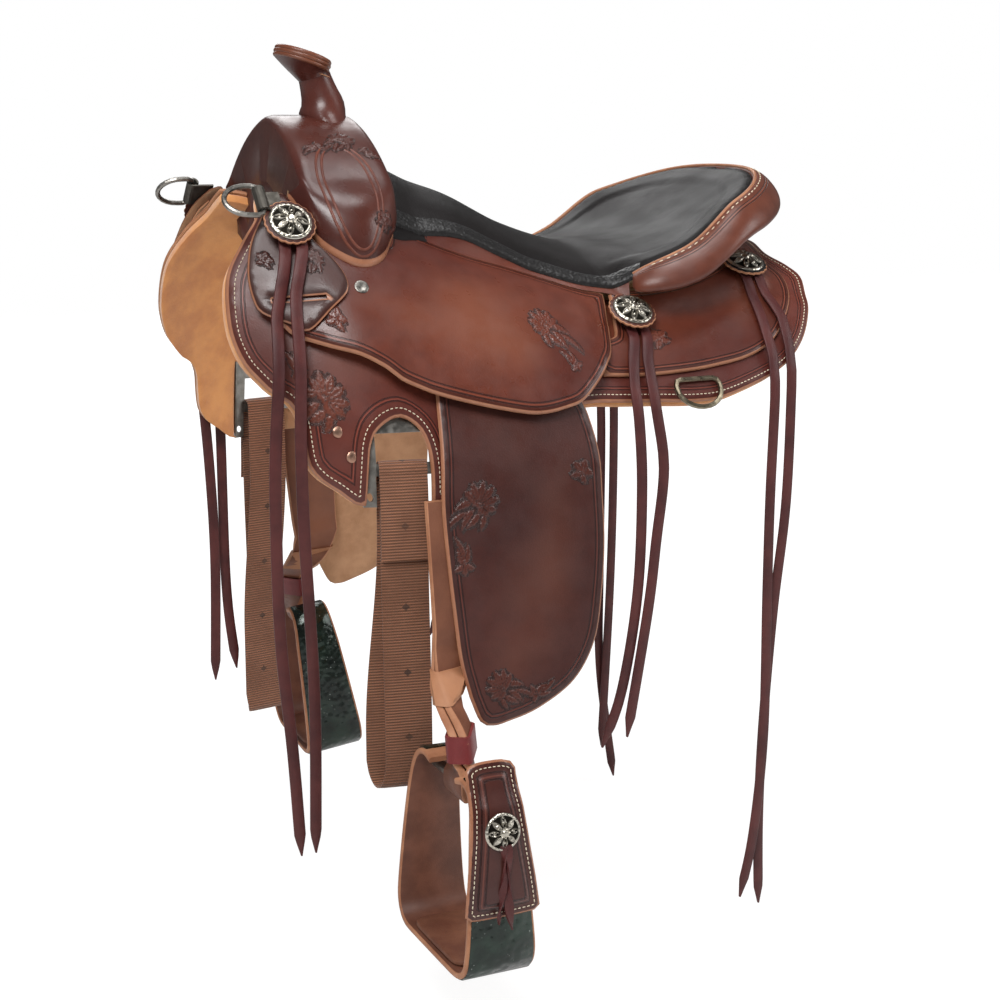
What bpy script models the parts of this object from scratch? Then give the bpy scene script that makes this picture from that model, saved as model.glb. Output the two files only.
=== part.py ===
"""Trail saddle: tree, leather, rigging, fenders and stirrups. Front is -X, left is -Y, sizes in millimetres."""

import math

import bpy
import numpy as np
from mathutils import Vector
from mathutils.geometry import delaunay_2d_cdt

MM = 0.001
LEFT = -1
RIGHT = 1
SIDES = ((LEFT, "left"), (RIGHT, "right"))

# the horse's back under the saddle: ridge height, half width and drop at each station along X
STATION_X = (-345, -284, -215, -90, 0, 100, 200, 300)
RIDGE_Z = (116, 110, 85, 38, 18, 15, 28, 45)
HALF_WIDTH = (140, 182, 210, 227, 230, 228, 218, 190)
DROP = (280, 285, 278, 250, 220, 200, 180, 170)
ROUND = 215  # turns an angle round the back into a length

# layers, as offsets out from the back
GAP = 0.8
LINING_THICK = 9.5
SKIRT_THICK = 5
BAR_THICK = 12
JOCKEY_THICK = 4.5
PLATE_THICK = 3
SKIRT_IN = 0
SKIRT_OUT = SKIRT_IN + SKIRT_THICK
BAR_IN = SKIRT_OUT + GAP
BAR_OUT = BAR_IN + BAR_THICK
JOCKEY_IN = BAR_OUT + GAP
JOCKEY_OUT = JOCKEY_IN + JOCKEY_THICK
LOW_IN = SKIRT_OUT + GAP
LOW_OUT = LOW_IN + JOCKEY_THICK

LATTICE_U = 34
LATTICE_V = 23

COLOURS = {
    "skirt_leather": (0.13, 0.035, 0.02),
    "dark_leather": (0.07, 0.02, 0.012),
    "seat_leather": (0.02, 0.016, 0.015),
    "raw_leather": (0.55, 0.30, 0.13),
    "wool": (0.62, 0.36, 0.14),
    "string_leather": (0.09, 0.018, 0.016),
    "webbing": (0.16, 0.06, 0.02),
    "tree_wood": (0.5, 0.36, 0.2),
    "steel": (0.45, 0.45, 0.43),
    "antique_silver": (0.55, 0.52, 0.45),
    "brass": (0.4, 0.32, 0.2),
    "stirrup_metal": (0.06, 0.1, 0.08),
}
METALS = ("steel", "antique_silver", "brass", "stirrup_metal")


def clear_scene():
    for old in list(bpy.data.objects):
        bpy.data.objects.remove(old)


def collection(name, hidden=False):
    made = bpy.data.collections.new(name)
    made.hide_render = hidden
    bpy.context.scene.collection.children.link(made)
    return made


def material(slot):
    found = bpy.data.materials.get(slot)
    if found:
        return found
    made = bpy.data.materials.new(slot)
    made.use_nodes = True
    shader = made.node_tree.nodes["Principled BSDF"]
    shader.inputs["Base Color"].default_value = (*COLOURS[slot], 1)
    shader.inputs["Roughness"].default_value = 0.35 if slot in METALS else 0.6
    shader.inputs["Metallic"].default_value = 1.0 if slot in METALS else 0.0
    return made


def add_mesh(name, slot, points, faces, origin=(0, 0, 0), smooth=False):
    """A closed piece from points in millimetres, with its origin where it turns."""
    mesh = bpy.data.meshes.new(name)
    local = (np.array(points, float) - np.array(origin, float)) * MM
    mesh.from_pydata(local.tolist(), [], faces)
    mesh.materials.append(material(slot))
    obj = bpy.data.objects.new(name, mesh)
    obj.location = np.array(origin, float) * MM
    saddle.objects.link(obj)
    if smooth:
        mesh.shade_smooth()
        mesh.set_sharp_from_angle(angle=math.radians(40))
    return obj


def table(x, xs, ys):
    """Smooth value at x through the stations (xs, ys)."""
    xs, ys = np.array(xs, float), np.array(ys, float)
    steps, rises = np.diff(xs), np.diff(ys)
    slopes = np.empty(len(xs))
    slopes[1:-1] = (ys[2:] - ys[:-2]) / (xs[2:] - xs[:-2])
    slopes[0], slopes[-1] = rises[0] / steps[0], rises[-1] / steps[-1]
    x = np.clip(x, xs[0], xs[-1])
    i = np.clip(np.searchsorted(xs, x) - 1, 0, len(xs) - 2)
    t = (x - xs[i]) / steps[i]
    start = (2 * t**3 - 3 * t**2 + 1) * ys[i] + (t**3 - 2 * t**2 + t) * steps[i] * slopes[i]
    end = (3 * t**2 - 2 * t**3) * ys[i + 1] + (t**3 - t**2) * steps[i] * slopes[i + 1]
    return start + end


def ridge(x):
    return table(x, STATION_X, RIDGE_Z)


def half_width(x):
    return table(x, STATION_X, HALF_WIDTH)


def drop(x):
    return table(x, STATION_X, DROP)


def on_back(side, x, v, lift):
    """The point at x along the back and v round it from the ridge, lifted square to it."""
    sine, cosine = np.sin(v / ROUND), np.cos(v / ROUND)
    wide, deep = half_width(x), drop(x)
    across, up = sine / wide, cosine / deep
    size = np.hypot(across, up)
    y = side * (wide * sine + lift * across / size)
    z = ridge(x) - deep * (1 - cosine) + lift * up / size
    return np.array([x, y, z], float)


def at_height(x, z):
    """How far round the back the height z lies."""
    return ROUND * np.arccos(np.clip(1 - (ridge(x) - z) / drop(x), -1, 1))


def at_width(x, y):
    """How far round the back the distance y from the centre lies."""
    return ROUND * np.arcsin(np.clip(y / half_width(x), -1, 1))


def down(*spots):
    """Outline points given as (x, height)."""
    return [(x, float(at_height(x, z))) for x, z in spots]


def across(*spots):
    """Outline points given as (x, distance from the centre)."""
    return [(x, float(at_width(x, y))) for x, y in spots]


def smooth_run(spots, step):
    """A smooth curve through the spots, cut into pieces of about one step."""
    p = np.array(spots, float)
    p = np.vstack([2 * p[0] - p[1], p, 2 * p[-1] - p[-2]])
    out = []
    for a, b, c, d in zip(p, p[1:], p[2:], p[3:]):
        count = max(1, round(np.linalg.norm(c - b) / step))
        for k in range(count):
            t = k / count
            out.append(
                0.5 * (2 * b + (c - a) * t + (2 * a - 5 * b + 4 * c - d) * t**2 + (3 * b - a - 3 * c + d) * t**3)
            )
    out.append(p[-2])
    return [tuple(float(n) for n in q) for q in out]


def outline(*runs, step=20):
    """A closed outline from smooth runs that meet at corners."""
    closed = []
    for run in runs:
        for spot in smooth_run(run, step):
            if not closed or math.dist(spot, closed[-1]) > 2:
                closed.append(spot)
    while math.dist(closed[0], closed[-1]) < 2:
        closed.pop()
    return closed


def inside(loop, u, v):
    odd = False
    for (ax, ay), (bx, by) in zip(loop, loop[1:] + loop[:1]):
        if (ay > v) != (by > v) and u < ax + (v - ay) * (bx - ax) / (by - ay):
            odd = not odd
    return odd


def from_edge(loop, u, v):
    p = np.array((u, v))
    a = np.array(loop)
    b = np.roll(a, -1, 0)
    t = np.clip(((p - a) * (b - a)).sum(1) / ((b - a) ** 2).sum(1), 0, 1)
    return np.linalg.norm(a + (b - a) * t[:, None] - p, axis=1).min()


def sheet_faces(loop, holes, du, dv):
    """Flat triangles that fill the outline less its holes, on a lattice that all sheets share."""
    points, edges = [], []
    for ring in (loop, *holes):
        first = len(points)
        points += ring
        edges += [(first + k, first + (k + 1) % len(ring)) for k in range(len(ring))]
    low, high = np.min(loop, axis=0), np.max(loop, axis=0)
    for j in range(math.floor(low[1] / dv), math.ceil(high[1] / dv) + 1):
        for i in range(math.floor(low[0] / du) - 1, math.ceil(high[0] / du) + 1):
            u, v = (i + 0.5 * (j % 2)) * du, j * dv
            far = min(from_edge(ring, u, v) for ring in (loop, *holes))
            if far > 0.4 * dv and inside(loop, u, v) and not any(inside(ring, u, v) for ring in holes):
                points.append((u, v))
    made = delaunay_2d_cdt([Vector(p) for p in points], edges, [], 1, 1e-4)
    flat = [tuple(p) for p in made[0]]
    faces = []
    for face in made[2]:
        middle = np.mean([flat[k] for k in face], axis=0)
        if not any(inside(ring, *middle) for ring in holes):
            faces.append(tuple(face))
    return flat, faces


def thick_sheet(flat, faces, lower, upper):
    """Closed mesh between two maps of the same flat triangles."""
    count = len(flat)
    points = [lower(u, v) for u, v in flat] + [upper(u, v) for u, v in flat]
    solid = []
    sides = set()
    for face in faces:
        solid.append(tuple(count + k for k in face))
        solid.append(tuple(face[::-1]))
        sides.update(zip(face, face[1:] + face[:1]))
    for a, b in sorted(sides):
        if (b, a) not in sides:
            solid.append((a, b, count + b))
            solid.append((a, count + b, count + a))
    return points, facing_out(points, solid)


def facing_out(points, faces):
    """The faces turned to face out: the signed volume tells which way they wind."""
    p = np.array(points, float)
    total = 0.0
    for face in faces:
        for a, b in zip(face[1:], face[2:]):
            total += float(np.dot(p[face[0]], np.cross(p[a], p[b])))
    return faces if total > 0 else [tuple(face[::-1]) for face in faces]


def panel(name, slot, side, loop, low, high, holes=(), du=LATTICE_U, dv=LATTICE_V, surface=on_back):
    """A sheet of leather or wood over the back, from lift low to lift high."""
    flat, faces = sheet_faces(loop, holes, du, dv)
    low_at = low if callable(low) else lambda u, v: low
    high_at = high if callable(high) else lambda u, v: high
    points, solid = thick_sheet(
        flat,
        faces,
        lambda u, v: surface(side, u, v, low_at(u, v)),
        lambda u, v: surface(side, u, v, high_at(u, v)),
    )
    return add_mesh(name, slot, points, solid)


def ease(t):
    t = np.clip(t, 0, 1)
    return float(t * t * (3 - 2 * t))


# skirts, their lining and the rigging plates between them
CHANNEL = 46  # half the open channel over the spine
MEET = 1.5  # half the seam where left and right meet
SKIRT_BACK = across((262, MEET), (264, 40)) + down(
    (258, 25), (266, 15), (271, 5), (264, -10), (258, -24), (239, -47), (215, -66), (191, -78), (165, -87),
    (125, -98), (99, -100), (56, -98), (13, -96), (-18, -95), (-80, -97), (-135, -99), (-150, -112),
    (-153, -150), (-156, -172),
)
SKIRT_ARCH = down(
    (-184, -172), (-183, -139), (-185, -120), (-190, -107), (-198, -99), (-207, -95), (-217, -97),
    (-225, -102), (-232, -109), (-236, -119), (-238, -130), (-242, -168),
)
SKIRT_FRONT = down(
    (-243, -172), (-252, -170), (-264, -160), (-278, -150), (-288, -136), (-291, -117), (-293, -95),
    (-300, -81), (-312, -73), (-321, -63), (-332, -48), (-339, -28), (-341, -8), (-339, 18), (-333, 36),
    (-317, 59), (-300, 79),
) + across((-292, CHANNEL + 9))
SKIRT_TOP = across(
    (-292, CHANNEL + 9), (-240, CHANNEL + 6), (-150, CHANNEL + 2), (0, CHANNEL), (120, CHANNEL), (205, CHANNEL - 2)
)
SKIRT_TAIL = across((205, CHANNEL - 2), (224, 30), (236, MEET))

PLATE_SLOT_X = (-231, -182)
PLATE_SLOT_Z = (-108, -135)
PLATE_BAR = 11
PLATE_ARM = 12
PLATE_TAIL_Z = -174
PLATE_TOP_Z = -88
LINING_CLEAR = 3


def plate_loops():
    front, back = PLATE_SLOT_X
    top, low = PLATE_SLOT_Z
    rim = low - PLATE_BAR
    outer = down(
        (front - PLATE_ARM, PLATE_TAIL_Z), (front - PLATE_ARM, PLATE_TOP_Z), (back + PLATE_ARM, PLATE_TOP_Z),
        (back + PLATE_ARM, rim), (front - 1, rim), (front - 1, PLATE_TAIL_Z),
    )
    slot = down((front, top), (back, top), (back, low), (front, low))
    eye_v = float(at_height(front - PLATE_ARM / 2, PLATE_TAIL_Z + 9))
    eye = [
        (front - PLATE_ARM / 2 - 0.5 + 3 * math.cos(a), eye_v + 3 * math.sin(a))
        for a in np.linspace(0, 2 * math.pi, 10, endpoint=False)
    ]
    return outer, (slot, eye)


def lining_arch():
    """The lining stands back from the rigging plate as corners: down the front, over the top, down the back."""
    front, back = PLATE_SLOT_X[0] - PLATE_ARM - LINING_CLEAR, PLATE_SLOT_X[1] + PLATE_ARM + LINING_CLEAR
    top = PLATE_TOP_Z + LINING_CLEAR
    corners = down((back, -172), (back, top), (front, top), (front, -170))
    return [list(pair) for pair in zip(corners, corners[1:])]


def skirt_loop(*arch):
    return outline(SKIRT_BACK, *arch, SKIRT_FRONT, SKIRT_TOP, SKIRT_TAIL)


def skirts():
    for side, word in SIDES:
        panel(f"skirt_{word}", "skirt_leather", side, skirt_loop(SKIRT_ARCH), SKIRT_IN, SKIRT_OUT)
        panel(f"skirt_lining_{word}", "wool", side, skirt_loop(*lining_arch()),
              SKIRT_IN - GAP - LINING_THICK, SKIRT_IN - GAP)
        loop, holes = plate_loops()
        panel(f"rigging_plate_{word}", "steel", side, loop, SKIRT_IN - GAP - PLATE_THICK, SKIRT_IN - GAP, holes)


# tree bars, and the jockeys that ride over them
BAR_FROM = 36
BAR_TO = 113
BAR_LOOP = across(
    (-266, 66), (-240, BAR_FROM + 6), (-160, BAR_FROM + 2), (0, BAR_FROM), (120, BAR_FROM), (190, BAR_FROM),
    (209, 60), (202, 92), (160, 110), (60, BAR_TO), (-60, BAR_TO), (-160, BAR_TO), (-225, 106), (-258, 88),
    (-266, 66),
)
RISE_V = (122, 158)  # the jockeys come down off the bars between these
RISE_FRONT_X = (-300, -230)
RISE_BACK_X = (0, 25)
RISE_TAIL_X = (214, 236)
UNDER_SEAT = 6


def off_bars(v):
    return 1 - ease((v - RISE_V[0]) / (RISE_V[1] - RISE_V[0]))


def seat_jockey_in(x, v):
    front = ease((x - RISE_FRONT_X[0]) / (RISE_FRONT_X[1] - RISE_FRONT_X[0]))
    back = 1 - ease((x - RISE_BACK_X[0]) / (RISE_BACK_X[1] - RISE_BACK_X[0]))
    low = LOW_OUT + GAP
    return low + (JOCKEY_IN - low) * max(front * back, off_bars(v))


def seat_jockey_out(x, v):
    return seat_jockey_in(x, v) + JOCKEY_THICK


def front_jockey_in(x, v):
    return seat_jockey_out(x, v) + FRONT_JOCKEY_GAP


def front_jockey_out(x, v):
    return front_jockey_in(x, v) + FRONT_JOCKEY_THICK


def rear_jockey_in(x, v):
    tail = 1 - ease((x - RISE_TAIL_X[0]) / (RISE_TAIL_X[1] - RISE_TAIL_X[0]))
    return LOW_IN + (JOCKEY_IN - LOW_IN) * off_bars(v) * tail


def rear_jockey_out(x, v):
    return rear_jockey_in(x, v) + JOCKEY_THICK


FRONT_JOCKEY_THICK = 4
FRONT_JOCKEY_GAP = 1.4  # more room where both bend at the front
SEAT_EDGE = ((-172, 90), (-106, 96), (-60, 100), (-25, 110), (10, 124), (44, 130))  # (x, half width)
FORK_LEG_OUT = 118
SEAT_JOCKEY_LOW = down(
    (24, -41), (14, -60), (5, -69), (-8, -81), (-31, -97), (-49, -102), (-79, -105), (-114, -99), (-172, -83),
    (-192, -75), (-208, -67), (-220, -57), (-241, -45), (-264, -37), (-290, -27), (-300, -18), (-314, -4),
    (-322, 14), (-317, 36), (-304, 58), (-290, 72),
)
SEAT_JOCKEY_TOP = across((-284, 98), (-266, 112), (-250, FORK_LEG_OUT), (-190, FORK_LEG_OUT), (-176, 104)) + across(
    *((x, y - UNDER_SEAT) for x, y in SEAT_EDGE[:-1]), (34, 122)
)
SEAT_JOCKEY_END = across((34, 122)) + down((33, -18), (24, -41))
FRONT_JOCKEY = down(
    (-290, 78), (-306, 63), (-317, 48), (-324, 24), (-323, 4), (-317, -8), (-296, -17), (-282, -23), (-261, -8),
    (-244, 4), (-243, 16), (-251, 31), (-262, 45), (-270, 60), (-272, 71), (-279, 80), (-290, 78),
)
SLOT = (-308, -263, 2, 3.2)  # from, to, height, width
REAR_JOCKEY_FRONT = across((40, 120)) + down((38, -22), (33, -40)) + [(26, 166), (8, 170)] + down((3, -60), (3, -75))
REAR_JOCKEY_LOW = down(
    (3, -75), (38, -77), (82, -76), (125, -72), (163, -65), (194, -53), (220, -34), (239, -15), (246, 2), (242, 14),
) + across((250, 55), (249, MEET))
REAR_JOCKEY_TOP = across((229, MEET), (226, 40), (212, 74), (184, 102), (140, 116), (90, 120), (40, 120))


def slot_loop():
    start, end, z, width = SLOT
    mid = [float(at_height(x, z)) for x in (start, end)]
    return [(start, mid[0] - width / 2), (end, mid[1] - width / 2), (end, mid[1] + width / 2), (start, mid[0] + width / 2)]


def jockeys():
    for side, word in SIDES:
        panel(f"tree_bar_{word}", "tree_wood", side, outline(BAR_LOOP), BAR_IN, BAR_OUT)
        panel(f"seat_jockey_{word}", "skirt_leather", side,
              outline(SEAT_JOCKEY_LOW, SEAT_JOCKEY_TOP, SEAT_JOCKEY_END), seat_jockey_in, seat_jockey_out, du=26, dv=20)
        panel(f"front_jockey_{word}", "dark_leather", side, outline(FRONT_JOCKEY), front_jockey_in,
              front_jockey_out, (slot_loop(),), du=26, dv=20)
        panel(f"rear_jockey_{word}", "skirt_leather", side,
              outline(REAR_JOCKEY_FRONT, REAR_JOCKEY_LOW, [REAR_JOCKEY_LOW[-1], REAR_JOCKEY_TOP[0]], REAR_JOCKEY_TOP),
              rear_jockey_in, rear_jockey_out, du=26, dv=20)


def skin(name, slot, rings, origin=(0, 0, 0), closed=False, smooth=True, tip=()):
    """A loft through rings of points, closed at its two ends or joined end to start; tip rings close on a point."""
    count = len(rings[0])
    points = [tuple(p) for ring in rings for p in ring]
    faces = []
    last = len(rings) if closed else len(rings) - 1
    for i in range(last):
        a, b = i * count, (i + 1) % len(rings) * count
        for k in range(count):
            n = (k + 1) % count
            faces += [(a + k, a + n, b + n), (a + k, b + n, b + k)]
    if not closed:
        faces.append(tuple(range(count))[::-1])
        faces.append(tuple(range((len(rings) - 1) * count, len(rings) * count)))
    return add_mesh(name, slot, points, facing_out(points, faces), origin, smooth)


def slab(name, slot, xs, half, top, bottom, columns=12):
    """A closed slab over the plan |y| <= half(x), between two height maps."""
    fractions = [-math.cos(math.pi * k / columns) for k in range(columns + 1)]
    points, faces = [], []
    wide = columns + 1
    for surface in (top, bottom):
        for x in xs:
            points += [(x, f * half(x), surface(x, f * half(x))) for f in fractions]
    under = len(xs) * wide
    for i in range(len(xs) - 1):
        for k in range(columns):
            a, b = i * wide + k, (i + 1) * wide + k
            faces += [(a, b, b + 1), (a, b + 1, a + 1)]
            faces += [(under + a, under + b + 1, under + b), (under + a, under + a + 1, under + b + 1)]
    edge = [i * wide for i in range(len(xs))]
    edge += [(len(xs) - 1) * wide + k for k in range(1, wide)]
    edge += [i * wide + columns for i in range(len(xs) - 2, -1, -1)]
    edge += list(range(columns - 1, 0, -1))
    for a, b in zip(edge, edge[1:] + edge[:1]):
        faces += [(a, under + a, under + b), (a, under + b, b)]
    return add_mesh(name, slot, points, facing_out(points, faces), smooth=True)


def cut(piece, cutter):
    """Takes the cutter, kept as a hidden helper, out of the piece."""
    for home in list(cutter.users_collection):
        home.objects.unlink(cutter)
    cutters.objects.link(cutter)
    cutter.hide_render = True
    cutter.display_type = "WIRE"
    made = piece.modifiers.new("Cut " + cutter.name, "BOOLEAN")
    made.operation = "DIFFERENCE"
    made.solver = "EXACT"
    made.object = cutter


LOOK_V = np.linspace(0, 330, 67)


def height_at(x, y, lift):
    """Height of the layer at that lift, over the plan point (x, y)."""
    lift_at = lift if callable(lift) else lambda u, v: lift
    spots = np.array([on_back(RIGHT, x, v, lift_at(x, v)) for v in LOOK_V])
    top = int(np.argmax(spots[:, 1]))
    return float(np.interp(abs(y), spots[: top + 1, 1], spots[: top + 1, 2]))


# seat: a thin leather-covered pad over a wooden ground seat, with its dish against the cantle
SEAT_FROM = -173
RIM_X0 = 110  # the cantle rim is a rounded curve about this station
RIM_X1 = 247
RIM_HALF = 153
RIM_POWER = 2.3
SEAT_X = (-173, -106, -60, -25, 10, 44, 76, 110)
SEAT_HALF = (90, 96, 100, 110, 124, 132, 150, RIM_HALF)
EDGE_X = (-173, -164, -106, -60, -25, 10, 44, 76, 120, 166, 185, 208, 235, 247)
EDGE_Z = (62, 63, 61, 41, 24, 14, 10, 29, 48, 84, 92, 102, 114, 118)
CREST_X = (-173, -125, -82, -26, 37, 70, 100, 150, 200, 240)
CREST_Z = (131, 110, 95, 67, 47, 46, 47, 60, 90, 113)
SEAT_EDGE_THICK = 3.5
SEAT_PAD_THICK = 8
SEAT_GAP = 1.3  # the ground work is sanded to fit, and its grid differs from the seat's
SADDLE_POWER = 1.9
CANTLE_FROM = 62
CANTLE_SHARE = 0.88
FOOT_SHARE = 0.74
CANTLE_EDGE_THICK = 12
BACK_THICK = 4
ROLL_FROM = 62
ROLL_WIDE = 20
ROLL_THICK = 9
ROLL_OFF = 2.8
ROLL_TILT = math.radians(50)


def rim_half(x):
    t = np.clip((x - RIM_X0) / (RIM_X1 - RIM_X0), 0, 1)
    return RIM_HALF * (1 - t**RIM_POWER) ** (1 / RIM_POWER)


def seat_half(x):
    return float(table(x, SEAT_X, SEAT_HALF)) if x < RIM_X0 else float(rim_half(x))


def edge_height(x):
    over_jockey = height_at(x, seat_half(x), JOCKEY_OUT) + 2 * GAP + SEAT_EDGE_THICK if x < 50 else -999
    return max(float(table(x, EDGE_X, EDGE_Z)), over_jockey)


EDGE_ROWS = np.array([SEAT_FROM + 5 * k for k in range(85)], float)
EDGE_HEIGHTS = np.array([edge_height(x) for x in EDGE_ROWS])


def reach(x, y):
    """0 on the centre line, 1 on the seat's edge."""
    if x < RIM_X0:
        return min(1, abs(y) / seat_half(x))
    along = (x - RIM_X0) / (RIM_X1 - RIM_X0)
    return float((along**RIM_POWER + abs(y / RIM_HALF) ** RIM_POWER) ** (1 / RIM_POWER))


def seat_top(x, y):
    crest = float(table(x, CREST_X, CREST_Z))
    edge = float(np.interp(x, EDGE_ROWS, EDGE_HEIGHTS))
    return crest + (edge - crest) * min(1, abs(y) / max(seat_half(x), 1)) ** SADDLE_POWER


def seat_under(x, y):
    inner = 1 - min(1, reach(x, y)) ** 3
    return seat_top(x, y) - SEAT_EDGE_THICK - (SEAT_PAD_THICK - SEAT_EDGE_THICK) * inner


def wood_top(x, y):
    return seat_under(x, y) - SEAT_GAP


def on_bars(x, y):
    return height_at(x, y, BAR_OUT + GAP)


def ground_half(x):
    return min(seat_half(x) - UNDER_SEAT - 3, 112)


def cantle_half(x):
    t = np.clip((x - RIM_X0) / (CANTLE_SHARE * (RIM_X1 - RIM_X0)), 0, 0.995)
    whole = CANTLE_SHARE * RIM_HALF * (1 - t**RIM_POWER) ** (1 / RIM_POWER)
    return float(whole if x > RIM_X0 else CANTLE_SHARE * seat_half(x))


def cantle_under(x, y):
    """On the bars inside the foot, then up to the rim's edge."""
    low = min(on_bars(x, y), wood_top(x, y) - 2)
    share = reach(x, y) if x > RIM_X0 else abs(y) / seat_half(x)
    rise = (share - FOOT_SHARE) / (CANTLE_SHARE - FOOT_SHARE)
    lip = wood_top(x, y) - CANTLE_EDGE_THICK
    if rise <= 0:
        return low
    over = height_at(x, y, JOCKEY_OUT + 3 * GAP + BACK_THICK)
    return max(low * (1 - min(rise, 1)) + lip * min(rise, 1), min(over, lip))


def rim_point(turn, share, z=None):
    """Plan point at an angle round the rim: 0 is the rear middle, and the left side is negative."""
    cosine, sine = math.cos(turn), math.sin(turn)
    x = RIM_X0 + (RIM_X1 - RIM_X0) * share * math.copysign(abs(cosine) ** (2 / RIM_POWER), cosine)
    y = RIM_HALF * share * math.copysign(abs(sine) ** (2 / RIM_POWER), sine)
    return x, y


def roll_path():
    """Rim stations from the left end round the back to the right end, as (x, y, z)."""
    left = [(x, -seat_half(x)) for x in np.linspace(ROLL_FROM, RIM_X0 - 8, 4)]
    back = [rim_point(a, 1) for a in np.linspace(-math.pi / 2, math.pi / 2, 25)]
    right = [(x, -y) for x, y in left[::-1]]
    return [(x, y, float(np.interp(x, EDGE_ROWS, EDGE_HEIGHTS))) for x, y in left + back + right]


def cantle_roll():
    path = np.array(roll_path())
    tangents = np.gradient(path[:, :2], axis=0)
    rings = []
    for k, (spot, tangent) in enumerate(zip(path, tangents)):
        out = np.array((tangent[1], -tangent[0], 0.0)) / np.hypot(*tangent)
        end = min(k, len(path) - 1 - k) / 3
        size = 0.55 + 0.45 * ease(end)
        broad = out * math.cos(ROLL_TILT) - np.array((0, 0, math.sin(ROLL_TILT)))
        thin = out * math.sin(ROLL_TILT) + np.array((0, 0, math.cos(ROLL_TILT)))
        start = spot + out * ROLL_OFF + broad * ROLL_WIDE * size
        ring = [
            start + broad * ROLL_WIDE * size * math.cos(a) + thin * ROLL_THICK * size * math.sin(a)
            for a in np.linspace(0, 2 * math.pi, 12, endpoint=False)
        ]
        rings.append(ring)
    return skin("cantle_roll", "dark_leather", rings)


def cantle_back():
    turns = np.linspace(-1.25, 1.25, 23)
    shares = (0.80, 0.84, 0.885)
    rings = []
    for turn in turns:
        spots = [rim_point(turn, share) for share in shares]
        top = [(x, y, cantle_under(x, y) - 2 * GAP) for x, y in spots]
        low = [(x, y, cantle_under(x, y) - 2 * GAP - BACK_THICK) for x, y in spots[::-1]]
        rings.append(top + low)
    return skin("cantle_back", "skirt_leather", rings)


def seat_pieces():
    rows = [*np.linspace(SEAT_FROM, 100, 14), *np.linspace(118, 232, 9), 240, 244, 246.2]
    slab("seat", "seat_leather", rows, seat_half, seat_top, seat_under, 14)
    slab("ground_seat", "tree_wood", np.linspace(SEAT_FROM + 3, CANTLE_FROM - 2, 10), ground_half, wood_top,
         lambda x, y: min(on_bars(x, y), wood_top(x, y) - 2))
    last = RIM_X0 + CANTLE_SHARE * (RIM_X1 - RIM_X0) - 2
    slab("tree_cantle", "tree_wood", [*np.linspace(CANTLE_FROM, 200, 8), 212, 222, last],
         cantle_half, wood_top, cantle_under, 14)
    cantle_roll()
    cantle_back()


# fork, horn and the leather over them
FORK_X = (-254, -192)
FORK_TOP_X = (-258, -182)
FORK_Z = (52, 173)  # the stations' ends for the lean of its faces
FORK_SHELL = ((141, 54), (146, 64), (142, 84), (128, 100), (113, 109), (92, 128), (66, 145), (36, 160), (0, 168))
FORK_FOOT = (44, 108)  # the leg's inner and outer edge on the bar
FORK_HANG_LIFT = JOCKEY_OUT + 6.5
FORK_ARCH_Z = 108
COVER_THICK = 3.5
COVER_HANG_LIFT = JOCKEY_OUT + 2 * GAP
HORN_FOOT = (-203, 178)  # where the horn's axis leaves the cover, as (x, z)
HORN_TOP = (-212, 208)
CORE_R = 10
CORE_SUNK = 30
WRAP_R = (19, 15.5)
CAP_MID = (-222, 229)
CAP_R = 28
CAP_THICK = 12
CAP_TILT = math.radians(18)


FOOT_LIFT = BAR_OUT + GAP + 1


def fork_ring(x, grow, hang, foot_grow, floor):
    """The fork's outline at x: up over the swell, then back under along the bars and through the arch."""
    half = [(y + grow, z + grow * 0.6) for y, z in FORK_SHELL[:3]]
    half += [(y + grow * 0.8, z + grow * 0.8) for y, z in FORK_SHELL[3:-1]]
    half += [(0, FORK_SHELL[-1][1] + grow)]
    inner, outer = FORK_FOOT[0] - foot_grow, FORK_FOOT[1] + foot_grow
    under = [
        (outer + 22 + grow, height_at(x, outer + 22 + grow, hang)),
        (outer + 8, height_at(x, outer + 8, hang)),
        (outer, height_at(x, outer, FOOT_LIFT) - floor),
        ((inner + outer) / 2, height_at(x, (inner + outer) / 2, FOOT_LIFT) - floor),
        (inner, height_at(x, inner, FOOT_LIFT) - floor),
        (inner - 2, FORK_ARCH_Z - 6 - floor / 2),
        (inner - 14, FORK_ARCH_Z - floor / 2),
    ]
    right = under[::-1] + half
    left = [(-y, z) for y, z in right[::-1]][1:]
    ring = []
    for y, z in right + left:
        ring.append((x, y, z))
    return ring


def fork_loft(name, slot, grow, hang, foot_grow=0, floor=0, spread=0.0):
    """The fork's block, rounded towards its front and rear faces."""
    shares = ((-1, -6), (-0.86, -1.5), (-0.45, 0), (0, 0.5), (0.45, 0), (0.86, -1.5), (1, -6))
    rings = []
    for share, inset in shares:
        rings.append([])
        for _, y, z in fork_ring(-221, grow + inset, hang, foot_grow, floor):
            t = ease((z - FORK_Z[0]) / (FORK_Z[1] - FORK_Z[0]))
            front = FORK_X[0] + (FORK_TOP_X[0] - FORK_X[0]) * t
            back = FORK_X[1] + (FORK_TOP_X[1] - FORK_X[1]) * t
            x = (front + back) / 2 + share * ((back - front) / 2 + spread)
            rings[-1].append((x, y, z))
    settled = []
    for ring in rings:
        on_bar = []
        for x, y, z in ring:
            low = height_at(x, abs(y), FOOT_LIFT) - floor if abs(y) <= FORK_FOOT[1] + 3 else height_at(x, abs(y), hang)
            on_bar.append((x, y, max(z, low) if abs(y) > FORK_FOOT[0] - 3 and z < 104 else z))
        settled.append(on_bar)
    return skin(name, slot, settled)


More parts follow.
